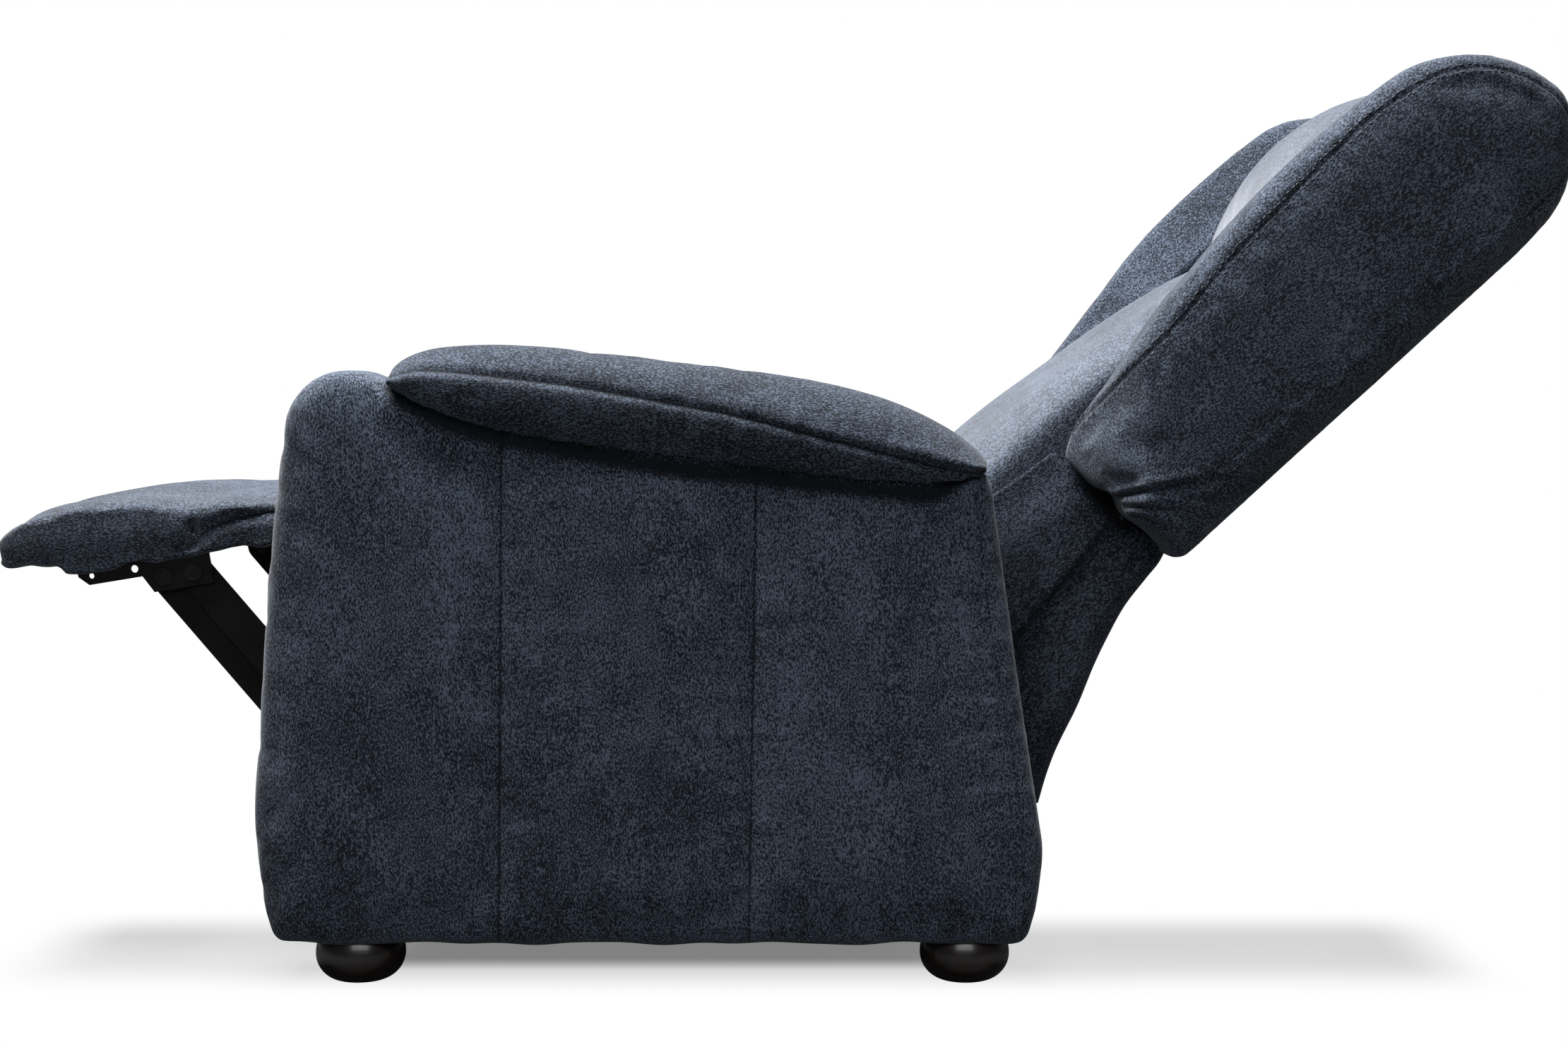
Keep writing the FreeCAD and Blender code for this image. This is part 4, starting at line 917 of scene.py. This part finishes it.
class ARMCHAIR_OT_wings(bpy.types.Operator):
    """Pad both wings, with a stitched roll round the edge and a gathered lower end"""
    bl_idname = "armchair.wings"
    bl_label = "Wings"

    def execute(self, context):
        settings = context.scene.armchair_soft
        piece = copy_of("left_wing", "left_wing_soft")
        soften(piece, settings.pad_voxel, passes=4, turn=BACK_TURN)
        seam = smooth_line(WING_SEAM)
        outward = normals_of(piece)[:, SIDEWAYS]
        flat = back_view(points_of(piece))
        sewn = bell(to_line(flat, seam)[0], width=0.006) * ramp(outward, 0.0, 0.4)
        held = np.maximum(1 - ramp(outward, 0.0, 0.5), sewn)
        held = np.maximum(held, 1 - ramp(flat[:, 1], *WING_FOOT))
        fill(piece, held, most=0.007, slack=0.02)
        refine(piece)
        plain = piece.data.copy()
        self.shape(piece, seam, fullness=0.016, trim=0)
        other = dress(twin(piece, "right_wing_soft"), "back", pile("wing"), ["right_wing"])
        piece.data = plain
        self.shape(piece, seam, fullness=0.001, trim=0.013)
        dress(piece, "back", pile("wing"), ["left_wing"])
        self.stitch(context, piece, "left_wing_stitches", seam)
        self.stitch(context, other, "right_wing_stitches", seam)
        return {"FINISHED"}

    def shape(self, piece, seam, fullness, trim):
        """Ease the outline, lift the hem and sew the edge of one wing."""
        self.ease_outline(piece, fullness, trim)
        self.lift_hem(piece)
        self.sew_edge(piece, seam)

    def ease_outline(self, piece, fullness, trim):
        """Fill the rear edge and the front roll, round the rear of the crown and trim the lower front."""
        rear_fullness, crown_rounding, outer_loss = 0.0045, 0.006, 0.6
        points = points_of(piece)
        flat = back_view(points)
        rearward = back_heading(piece)[:, 0]
        rear = ramp(rearward, 0.1, 0.6) * (1 - ramp(flat[:, 1], *WING_CROWN_FOOT))
        crown = np.exp(-(((flat[:, 0] - WING_CROWN_REAR[0]) / WING_CROWN_SIZE) ** 2
                         + ((flat[:, 1] - WING_CROWN_REAR[1]) / WING_CROWN_SIZE) ** 2))
        roll = ramp(-rearward, 0.1, 0.7) * between(flat[:, 1], WING_ROLL_START, WING_ROLL_END)
        inner = 1 - outer_loss * ramp(points[:, SIDEWAYS], *WING_OUTER_HALF)
        push(piece, rear_fullness * rear - crown_rounding * crown + fullness * roll * inner)
        lower_front = ramp(-flat[:, 0], *WING_LOWER_FRONT) * (1 - ramp(flat[:, 1], *WING_LOWER_END))
        shift_in_back(piece, trim * lower_front, 0)

    def lift_hem(self, piece):
        """Draw the hem up into the arch of a small mouth, and a little more towards the rear."""
        arch_height, rear_height = 0.009, 0.009
        flat = back_view(points_of(piece))
        arch = bell(flat[:, 0] - WING_MOUTH, WING_MOUTH_WIDTH)
        rear = ramp(flat[:, 0], *WING_HEM_REAR)
        hem = 1 - ramp(flat[:, 1], *WING_HEM_HEIGHT)
        shift_in_back(piece, 0, (arch_height * arch + rear_height * rear) * hem)

    def sew_edge(self, piece, seam):
        """Sink the edge seam between two rows of stitching, with painted shade along it, and pleat the lower
        end with painted shade in the pleats' hollows.
        """
        shown = ramp(normals_of(piece)[:, SIDEWAYS], 0.1, 0.5)
        seam_strength, first_pleat, pleat_loss = 0.6, 0.0044, 0.0010
        gather(piece, back_view, seam, shown, height=0.0006, pitch=0.035, reach=0.02, seed=21)
        sew(piece, back_view, seam, seam_strength * shown, depth=0.0022, width=0.0028)
        for index, pleat in enumerate(WING_PLEATS):
            height = first_pleat - pleat_loss * index
            fold(piece, back_view, smooth_line(pleat), shown, height, width=0.0055)
        for tuck in WING_TUCKS:
            fold(piece, back_view, smooth_line(tuck), shown, height=0.0008, width=0.006)
        swell(piece, shown, height=0.0012, size=0.2, seed=22)

    def outer_points(self, points, facing):
        """Finds the outer face's point at a place in the back's own frame."""
        outside = np.nonzero(np.abs(facing[:, SIDEWAYS]) > 0.25)[0]
        outside = outside[np.sign(points[outside, SIDEWAYS]) == np.sign(facing[outside, SIDEWAYS])]
        flat = back_view(points)
        finder = KDTree(len(outside))
        for index in outside:
            finder.insert((*flat[index], 0), int(index))
        finder.balance()
        return finder

    def stitch(self, context, piece, name, seam):
        """Two rows of stitches, one on each side of the edge seam."""
        settings = context.scene.armchair_soft
        points, facing = points_of(piece), normals_of(piece)
        finder = self.outer_points(points, facing)
        bpy.ops.object.select_all(action="DESELECT")
        bpy.ops.mesh.primitive_uv_sphere_add(segments=8, ring_count=5, radius=0.5)
        single = bpy.context.object
        size = Matrix.Diagonal((settings.thread, settings.thread, settings.stitch, 1))
        places = np.arange(STITCH_START, line_lengths(seam)[-1] - STITCH_END, settings.stitch_pitch)
        spots, ahead = spots_along(seam, places), spots_along(seam, places + STITCH_LOOK)
        stitches = bmesh.new()
        for offset in (-STITCH_OFFSET, STITCH_OFFSET):
            for spot, onward in zip(spots, ahead):
                heading = (onward - spot) / np.linalg.norm(onward - spot)
                beside = spot + offset * np.array([-heading[1], heading[0]])
                _, index, _ = finder.find((*beside, 0))
                out = Vector(facing[index])
                lengthwise = Vector((0, *out_of_back(*heading)))
                lengthwise = (lengthwise - out * lengthwise.dot(out)).normalized()
                turn = Matrix((lengthwise.cross(out), out, lengthwise)).transposed().to_4x4()
                copied = single.data.copy()
                copied.transform(Matrix.Translation(Vector(points[index]) + out * STITCH_LIFT) @ turn @ size)
                stitches.from_mesh(copied)
                bpy.data.meshes.remove(copied)
        bpy.data.objects.remove(single)
        row = new_piece(name, bpy.data.meshes.new(name))
        stitches.to_mesh(row.data)
        stitches.free()
        shade_smooth(row)
        row.data.materials.append(sewing_thread())
        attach(row, "back")


CUSHION_SIDE = (0.236, 0.247)
CUSHION_WIDENING = 0.02
CUSHION_WIDE_START = (0.18, 0.28)
CHANNEL_START = (0.20, 0.36)
CHANNEL_END = (0.40, 0.68)
BOARD_GRID = 0.0038
BOARD_HALF_WIDTH = 0.246
BOARD_FOOT = 0.152
BOARD_HEAD = 0.640
BOARD_SEAM_INSET = 0.012


class ARMCHAIR_OT_back_cushions(bpy.types.Operator):
    """Fill the lumbar and head cushions on either side of their channel, and cover the back board"""
    bl_idname = "armchair.back_cushions"
    bl_label = "Back cushions"

    def execute(self, context):
        grid = context.scene.armchair_soft.cushion_voxel
        self.fill_cushion("lumbar_cushion", grid, fullness=0.003, rise=0.028, seed=31)
        self.fill_cushion("head_cushion", grid, fullness=0.009, rise=0.040, seed=32, full_top=True)
        self.cover_board()
        return {"FINISHED"}

    def fill_cushion(self, node, grid, fullness, rise, seed, full_top=False):
        """Blow one cushion up to the front, and to the top where nothing lies over it."""
        piece = copy_of(node, node + "_soft")
        soften(piece, grid, passes=5, turn=BACK_TURN)
        heading = back_heading(piece)
        free = ramp(-heading[:, 0], 0.1, 0.6)
        if full_top:
            free = np.maximum(free, ramp(heading[:, 1], 0.2, 0.7))
        held = np.maximum(1 - free, ramp(np.abs(points_of(piece)[:, SIDEWAYS]), *CUSHION_SIDE))
        fill(piece, held, most=fullness, slack=0.01, easing=8)
        refine(piece)
        swell(piece, ramp(-back_heading(piece)[:, 0], 0, 0.5), height=0.0016, size=0.3, seed=seed)
        self.raise_channel(piece, rise)
        dress(piece, "back", pile("cushion"), [node])

    def raise_channel(self, piece, rise):
        """Ease the filling out to the wings, and up the back, most of all where the two cushions meet."""
        points = points_of(piece)
        height = back_view(points)[:, 1]
        points[:, SIDEWAYS] *= 1 + CUSHION_WIDENING * ramp(height, *CUSHION_WIDE_START)
        set_points(piece, points)
        shift_in_back(piece, 0, rise * between(height, CHANNEL_START, CHANNEL_END))

    def cover_board(self):
        """Pad the rear of the back board inside a seam that runs round it, with painted shade along the seam.
        """
        fullness, fullness_reach, seam_depth = 0.006, 0.05, 0.003
        board = copy_of("back_panel", "back_panel_cover")
        soften(board, BOARD_GRID, passes=2, turn=BACK_TURN)
        height = back_view(points_of(board))[:, 1]
        behind = ramp(back_heading(board)[:, 0], 0.3, 0.8)
        inset = np.minimum(BOARD_HALF_WIDTH - np.abs(points_of(board)[:, SIDEWAYS]),
                           np.minimum(height - BOARD_FOOT, BOARD_HEAD - height))
        push(board, fullness * behind * (1 - np.exp(-np.clip(inset, 0, 1) / fullness_reach)))
        push(board, -seam_depth * behind * bell(inset - BOARD_SEAM_INSET, width=0.004))
        mark_seam(board, inset - BOARD_SEAM_INSET, behind)
        dress(board, "back", pile("wing"), ["back_panel"])


# Seat

SEAT_SEAM = 0.246
DECK_GRID = 0.005


class ARMCHAIR_OT_seat(bpy.types.Operator):
    """Fill the seat cushion and cover the deck behind it"""
    bl_idname = "armchair.seat"
    bl_label = "Seat"

    def execute(self, context):
        settings = context.scene.armchair_soft
        piece = copy_of("seat_cushion", "seat_cushion_soft")
        soften(piece, settings.cushion_voxel, passes=5)
        facing = normals_of(piece)
        free = np.maximum(ramp(facing[:, UPWARD], 0.1, 0.5), ramp(-facing[:, REARWARD], 0.4, 0.8))
        edge = bell(self.past_seam(piece), width=0.007) * ramp(facing[:, UPWARD], 0.0, 0.3)
        fill(piece, np.maximum(1 - free, edge), most=0.012, slack=0.02)
        refine(piece)
        shown = ramp(normals_of(piece)[:, UPWARD], 0.0, 0.4)
        seam_depth = 0.004
        push(piece, -seam_depth * bell(self.past_seam(piece), width=0.005) * shown)
        # Mark the seam for the painted shade along it.
        mark_seam(piece, self.past_seam(piece), shown)
        swell(piece, shown, height=0.0016, size=0.3, seed=41)
        dress(piece, "seat", pile("level"), ["seat_cushion"])
        deck = copy_of("seat_deck", "seat_deck_cover")
        soften(deck, DECK_GRID, passes=3)
        dress(deck, "seat", pile("level"), ["seat_deck"])
        return {"FINISHED"}

    def past_seam(self, piece):
        """How far each point lies outside the seam on its side."""
        return np.abs(points_of(piece)[:, SIDEWAYS]) - SEAT_SEAM


# Footrest

FOOTPAD_SLIT = in_mm((3, 32), (5, 40), (7.5, 48))
FOOTPAD_LIP = in_mm((-6, 23), (11, 34), (27, 42), (54, 47), (85, 49), (112, 50))
FOOTPAD_PINCH = 0.008
FOOTPAD_SIDE = (0.17, 0.25)
BOARD_END_COVER = 0.2525
BOARD_END_MOST = 0.012
BOARD_END_START = (0.236, 0.243)
BOARD_UNDERSIDE = (0.012, 0.02)
BOARD_TOP = (0.036, 0.046)
BOARD_FRONT = (-0.15, -0.13)
BOARD_REAR = (0.098, 0.112)
BOARD_WRAP = (0.005, 0.001, 0.0035)


class ARMCHAIR_OT_footrest_pad(bpy.types.Operator):
    """Fill the two lobes of the footrest pad"""
    bl_idname = "armchair.footrest_pad"
    bl_label = "Footrest pad"

    def execute(self, context):
        settings = context.scene.armchair_soft
        piece = copy_of("footrest_pad", "footrest_pad_soft")
        slit, lip = smooth_line(FOOTPAD_SLIT), smooth_line(FOOTPAD_LIP)
        under_padding, under_wave = 0.0012, 0.003
        self.wrap_board(piece)
        soften(piece, settings.pad_voxel, passes=3, turn=FOOTREST_TURN)
        flat, facing = footrest_view(points_of(piece)), normals_of(piece)
        push(piece, under_padding * ramp(-facing[:, UPWARD], 0.3, 0.7))
        pinch = bell(flat[:, 0] - FOOTPAD_PINCH, width=0.007) * ramp(np.abs(facing[:, SIDEWAYS]), 0.2, 0.6)
        fill(piece, np.maximum(1 - ramp(facing[:, UPWARD], -0.05, 0.3), pinch), most=0.004, slack=0.02)
        refine(piece)
        shown = ramp(np.abs(normals_of(piece)[:, SIDEWAYS]), 0.1, 0.5)
        top = ramp(normals_of(piece)[:, UPWARD], 0.0, 0.5)
        # Both seams also take painted shade along them.
        sew(piece, footrest_view, slit, shown, depth=0.007, width=0.006)
        sew(piece, footrest_view, lip, shown, depth=0.006, width=0.007)
        near_side = ramp(np.abs(points_of(piece)[:, SIDEWAYS]), *FOOTPAD_SIDE)
        gather(piece, footrest_view, slit, top * near_side, height=0.0025, pitch=0.05, reach=0.05, seed=51)
        swell(piece, 1, height=0.0012, size=0.16, seed=52)
        under = ramp(-normals_of(piece)[:, UPWARD], 0.2, 0.7)
        wave = ripple(points_of(piece)[:, REARWARD], pitch=0.09, seed=53)
        push(piece, under_wave * wave * under * near_side)
        self.cover_board(piece)
        dress(piece, "footrest", pile("level"), ["footrest_pad"])
        return {"FINISHED"}

    def cover_board(self, piece):
        """Keep the cover outside the ends of the board."""
        points = points_of(piece)
        outward = np.abs(points[:, SIDEWAYS])
        flat = footrest_view(points)
        beside = (between(flat[:, 1], BOARD_UNDERSIDE, BOARD_TOP)
                  * between(flat[:, 0], BOARD_FRONT, BOARD_REAR))
        short = np.clip(BOARD_END_COVER - outward, 0, BOARD_END_MOST) * ramp(outward, *BOARD_END_START)
        points[:, SIDEWAYS] += np.sign(points[:, SIDEWAYS]) * short * beside
        set_points(piece, points)

    def wrap_board(self, piece):
        """Close the pad round the board that it is stapled to."""
        board = copy_of("footrest_board", "footrest_board_filler")
        board.data.transform(FOOTREST_TURN.inverted())
        spots = points_of(board)
        middle = (spots.min(axis=0) + spots.max(axis=0)) / 2
        reach = (spots.max(axis=0) - spots.min(axis=0)) / 2
        set_points(board, middle + (spots - middle) * (1 + np.array(BOARD_WRAP) / reach))
        board.data.transform(FOOTREST_TURN)
        make_active(piece)
        board.select_set(True)
        bpy.ops.object.join()


# Loose flap behind the seat

FLAP_REAR = in_mm((277, 165), (289, 208), (298, 232), (315, 267), (331, 307), (346, 339), (363, 370),
                  (386, 398), (401, 416), (411, 438))
PANEL_HEM = in_mm((205, 165), (235, 165), (275.5, 165))
PANEL_TOP = in_mm((205, 466), (229, 486), (262, 509), (294, 530), (317, 516), (339, 500), (371, 463),
                  (411, 438))
PANEL_TUCK = PANEL_TOP[:4]
PANEL_MOUTH = in_mm((333, 494), (348, 476), (360, 462))
PANEL_CREASE = in_mm((366, 476), (361, 469), (258, 342), (215, 289))
PANEL_COLUMNS = 40
FLAP_ROWS = 64
FLAP_COLUMNS = 88
FLAP_SIDE = 0.2618
FLAP_CORNER = 0.02
FLAP_CORNER_STEPS = 5
FLAP_WALL = 0.0022
FLAP_SLACK_START = (0.18, 0.24)
FLAP_SLACK_END = (0.36, 0.42)
FLAP_MIDDLE = (0.12, 0.24)


class ARMCHAIR_OT_rear_flap(bpy.types.Operator):
    """Hang the loose flap that joins the seat to the back"""
    bl_idname = "armchair.rear_flap"
    bl_label = "Rear flap"

    def execute(self, context):
        piece = self.weave()
        in_edit_mode(piece, bpy.ops.mesh.normals_make_consistent, inside=False)
        self.crease(piece)
        solid = piece.modifiers.new("Wall", "SOLIDIFY")
        solid.thickness = FLAP_WALL
        solid.offset = -1
        apply_all(piece)
        shade_smooth(piece)
        piece.data.materials.append(pile("panel"))
        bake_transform(piece)
        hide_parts("rear_flap")
        return {"FINISHED"}

    def weave(self):
        """The flap and its two side panels as one open sheet."""
        rear = self.even(FLAP_REAR, FLAP_ROWS)
        hem, top = self.even(PANEL_HEM, PANEL_COLUMNS), self.even(PANEL_TOP, PANEL_COLUMNS)
        reach = FLAP_SIDE - FLAP_CORNER
        cloth = bmesh.new()
        grid = []
        for row, edge in enumerate(rear):
            half = self.panel_row(hem + (top - hem) * (row / (FLAP_ROWS - 1)), edge) + self.corner_row(edge)
            middle = [(reach - 2 * reach * step / FLAP_COLUMNS, *edge) for step in range(1, FLAP_COLUMNS)]
            other = [(-across, along, up) for across, along, up in reversed(half)]
            grid.append([cloth.verts.new(spot) for spot in half + middle + other])
        for lower, upper in zip(grid, grid[1:]):
            for index in range(len(lower) - 1):
                cloth.faces.new((lower[index], lower[index + 1], upper[index + 1], upper[index]))
        piece = new_piece("rear_flap_cloth", bpy.data.meshes.new("rear_flap_cloth"))
        cloth.to_mesh(piece.data)
        cloth.free()
        return piece

    def panel_row(self, straight, edge):
        """One row of a side panel, drawn out to the flap's rear edge and eased in before the corner."""
        places = []
        for column, spot in enumerate(straight):
            run = column / (PANEL_COLUMNS - 1)
            along, up = spot + (edge - straight[-1]) * run ** 2
            places.append((FLAP_SIDE, along - FLAP_CORNER * run ** 4, up))
        return places

    def corner_row(self, edge):
        """One row of the rounded corner between a side panel and the flap."""
        along, up = edge
        return [(FLAP_SIDE - FLAP_CORNER + FLAP_CORNER * math.cos(angle),
                 along - FLAP_CORNER + FLAP_CORNER * math.sin(angle), up)
                for angle in np.linspace(0, math.pi / 2, FLAP_CORNER_STEPS + 1)[1:]]

    def even(self, corners, count):
        """Evenly spaced points along a smooth line."""
        line = smooth_line(corners)
        return spots_along(line, np.linspace(0, line_lengths(line)[-1], count))

    def crease(self, piece):
        """Tuck the panels in at the back cushion, fold them along the crease, paint shade in the mouth and
        along the crease, and let the slack cloth hang.
        """
        tuck_depth, crease_depth, mouth_depth, crease_painted_shade = 0.0095, 0.003, 0.01, 0.5
        shadow_offset, across_wave, down_wave = 0.003, 0.003, 0.002
        points = points_of(piece)
        flat = side_view(points)
        sideways = ramp(np.abs(normals_of(piece)[:, SIDEWAYS]), 0.3, 0.8)
        tuck = 1 - ramp(to_line(flat, smooth_line(PANEL_TUCK))[0], 0.0, 0.06)
        away, _, side = to_line(flat, smooth_line(PANEL_CREASE))
        past_crease = away * side
        mouth = bell(to_line(flat, smooth_line(PANEL_MOUTH))[0], width=0.013)
        inward = tuck_depth * tuck + crease_depth * ramp(past_crease, -0.002, 0.003) + mouth_depth * mouth
        points[:, SIDEWAYS] -= np.sign(points[:, SIDEWAYS]) * inward * sideways
        set_points(piece, points)
        # Painted shade in the mouth under the wing's hem and on the shaded side of the crease.
        crease_shadow = crease_painted_shade * bell(past_crease + shadow_offset, width=0.004)
        paint_shade(piece, np.maximum(mouth, crease_shadow) * sideways)
        behind = ramp(normals_of(piece)[:, REARWARD], 0.2, 0.7)
        fall = between(points[:, UPWARD], FLAP_SLACK_START, FLAP_SLACK_END)
        inner = 1 - ramp(np.abs(points[:, SIDEWAYS]), *FLAP_MIDDLE)
        waves = (across_wave * ripple(points[:, SIDEWAYS], pitch=0.24, seed=61)
                 + down_wave * ripple(points[:, UPWARD], pitch=0.09, seed=62) * inner)
        push(piece, waves * behind * fall)


# Stage

FLOOR_SIZE = 24
FLOOR_SHADE = 0.08
FLOOR_CAMERA_SHADE = 0.1
UNDER_SHADOW = 0.78
AROUND_SHADOW = 0.36


class ARMCHAIR_OT_stage(bpy.types.Operator):
    """Set the floor, the soft lamps, the plain white surround and the camera"""
    bl_idname = "armchair.stage"
    bl_label = "Stage"

    def execute(self, context):
        settings = context.scene.armchair_stage
        scene = context.scene
        scene.view_settings.view_transform = "Standard"
        self.floor()
        self.surround(scene, settings.ambient)
        self.lamp("side_lamp", settings.key, place=(3.2, 0, 1.9), aim=(0, 0, 0.4), size=(2.6, 1.6))
        self.lamp("fill_lamp", settings.fill, place=(-2.5, 2.6, 1.6), aim=(0, 0.2, 0.5), size=(2.6, 1.6))
        self.lamp("top_lamp", settings.top, place=(0.05, -0.55, 3.0), aim=(0, -0.1, 0.3), size=(1.8, 1.8))
        data = bpy.data.cameras.new("photo_camera")
        data.lens = settings.lens
        data.sensor_width = 36
        camera = bpy.data.objects.new("photo_camera", data)
        scene.collection.objects.link(camera)
        camera.location = (settings.distance, settings.along, settings.height)
        camera.rotation_euler = (math.radians(90) - settings.pitch, 0, math.radians(90))
        scene.camera = camera
        return {"FINISHED"}

    def lamp(self, name, power, place, aim, size):
        """A soft lamp at a place, turned to its aim."""
        data = bpy.data.lights.new(name, "AREA")
        data.shape = "RECTANGLE"
        data.size, data.size_y = size
        data.energy = power
        light = bpy.data.objects.new(name, data)
        bpy.context.scene.collection.objects.link(light)
        light.location = place
        light.rotation_euler = (Vector(aim) - Vector(place)).to_track_quat("-Z", "Y").to_euler()

    def surround(self, scene, ambient):
        """White where the camera looks, and an even soft light for the rest."""
        world = bpy.data.worlds.new("plain_surround")
        scene.world = world
        world.use_nodes = True
        tree = world.node_tree
        ground = tree.nodes["Background"]
        rays = tree.nodes.new("ShaderNodeLightPath")
        seen = calculate(tree, "MAXIMUM", rays.outputs["Is Camera Ray"], rays.outputs["Is Transmission Ray"])
        ground.inputs["Color"].default_value = (1, 1, 1, 1)
        strength = calculate(tree, "ADD", ambient, calculate(tree, "MULTIPLY", seen, 1 - ambient))
        tree.links.new(strength, ground.inputs["Strength"])

    def band(self, tree, along, low, high, edge):
        """1 between two places on the floor and 0 outside them, with soft edges."""
        sides = []
        for start, end in ((low - edge, low + edge), (high + edge, high - edge)):
            step = tree.nodes.new("ShaderNodeMapRange")
            step.interpolation_type = "SMOOTHSTEP"
            step.inputs["From Min"].default_value = start
            step.inputs["From Max"].default_value = end
            tree.links.new(along, step.inputs["Value"])
            sides.append(step.outputs["Result"])
        return calculate(tree, "MULTIPLY", *sides)

    def shade(self, tree):
        """How much of the floor's own shading the camera sees: most under the chair, some beside it."""
        where = tree.nodes.new("ShaderNodeTexCoord")
        apart = tree.nodes.new("ShaderNodeSeparateXYZ")
        tree.links.new(where.outputs["Object"], apart.inputs["Vector"])
        across, along = apart.outputs["X"], apart.outputs["Y"]
        under = calculate(tree, "MULTIPLY", self.band(tree, across, low=-0.42, high=0.285, edge=0.05),
                          self.band(tree, along, low=-0.47, high=0.23, edge=0.06))
        around = calculate(tree, "MULTIPLY", self.band(tree, across, low=0.075, high=0.335, edge=0.075),
                           self.band(tree, along, low=-0.76, high=0.70, edge=0.06))
        return calculate(tree, "MAXIMUM", calculate(tree, "MULTIPLY", under, UNDER_SHADOW),
                         calculate(tree, "MULTIPLY", around, AROUND_SHADOW))

    def floor(self):
        """A pale floor that keeps the shadow under the chair and is white further out."""
        bpy.ops.object.select_all(action="DESELECT")
        bpy.ops.mesh.primitive_plane_add(size=FLOOR_SIZE)
        floor = bpy.context.object
        floor.name = "studio_floor"
        material, tree, output = bare_material("pale_floor")
        matt = tree.nodes.new("ShaderNodeBsdfDiffuse")
        glow = tree.nodes.new("ShaderNodeEmission")
        seen = tree.nodes.new("ShaderNodeLightPath").outputs["Is Camera Ray"]
        pale = calculate(tree, "ADD", FLOOR_SHADE, calculate(tree, "MULTIPLY", seen, FLOOR_CAMERA_SHADE))
        tree.links.new(pale, matt.inputs["Color"])
        tree.links.new(seen, glow.inputs["Strength"])
        clear = calculate(tree, "SUBTRACT", 1, self.shade(tree))
        mix = tree.nodes.new("ShaderNodeMixShader")
        tree.links.new(calculate(tree, "MULTIPLY", clear, seen), mix.inputs["Fac"])
        tree.links.new(matt.outputs["BSDF"], mix.inputs[1])
        tree.links.new(glow.outputs["Emission"], mix.inputs[2])
        tree.links.new(mix.outputs["Shader"], output.inputs["Surface"])
        floor.data.materials.append(material)


# Sidebar

class ARMCHAIR_PT_upholstery(bpy.types.Panel):
    """Lists the settings and the steps"""
    bl_label = "Armchair"
    bl_idname = "ARMCHAIR_PT_upholstery"
    bl_space_type = "VIEW_3D"
    bl_region_type = "UI"
    bl_category = "Armchair"

    def draw(self, context):
        for group in SETTINGS:
            settings = getattr(context.scene, group)
            box = self.layout.box()
            for name in settings.__annotations__:
                box.prop(settings, name)
        for step in STEPS:
            self.layout.operator(step.bl_idname)


SETTINGS = {"armchair_fabric": FabricSettings, "armchair_soft": SoftSettings, "armchair_stage": StageSettings}
STEPS = (ARMCHAIR_OT_stage, ARMCHAIR_OT_hard_parts, ARMCHAIR_OT_arm_covers, ARMCHAIR_OT_arm_pads,
         ARMCHAIR_OT_wings, ARMCHAIR_OT_back_cushions, ARMCHAIR_OT_seat, ARMCHAIR_OT_footrest_pad,
         ARMCHAIR_OT_rear_flap)
CLASSES = (*SETTINGS.values(), *STEPS, ARMCHAIR_PT_upholstery)


def register():
    for kind in CLASSES:
        bpy.utils.register_class(kind)
    for name, kind in SETTINGS.items():
        setattr(bpy.types.Scene, name, PointerProperty(type=kind))


def unregister():
    for name in SETTINGS:
        delattr(bpy.types.Scene, name)
    for kind in reversed(CLASSES):
        bpy.utils.unregister_class(kind)


def main():
    register()
    bpy.ops.armchair.stage()
    bpy.ops.armchair.hard_parts()
    bpy.ops.armchair.arm_covers()
    bpy.ops.armchair.arm_pads()
    bpy.ops.armchair.wings()
    bpy.ops.armchair.back_cushions()
    bpy.ops.armchair.seat()
    bpy.ops.armchair.footrest_pad()
    bpy.ops.armchair.rear_flap()


if __name__ == "__main__":
    main()
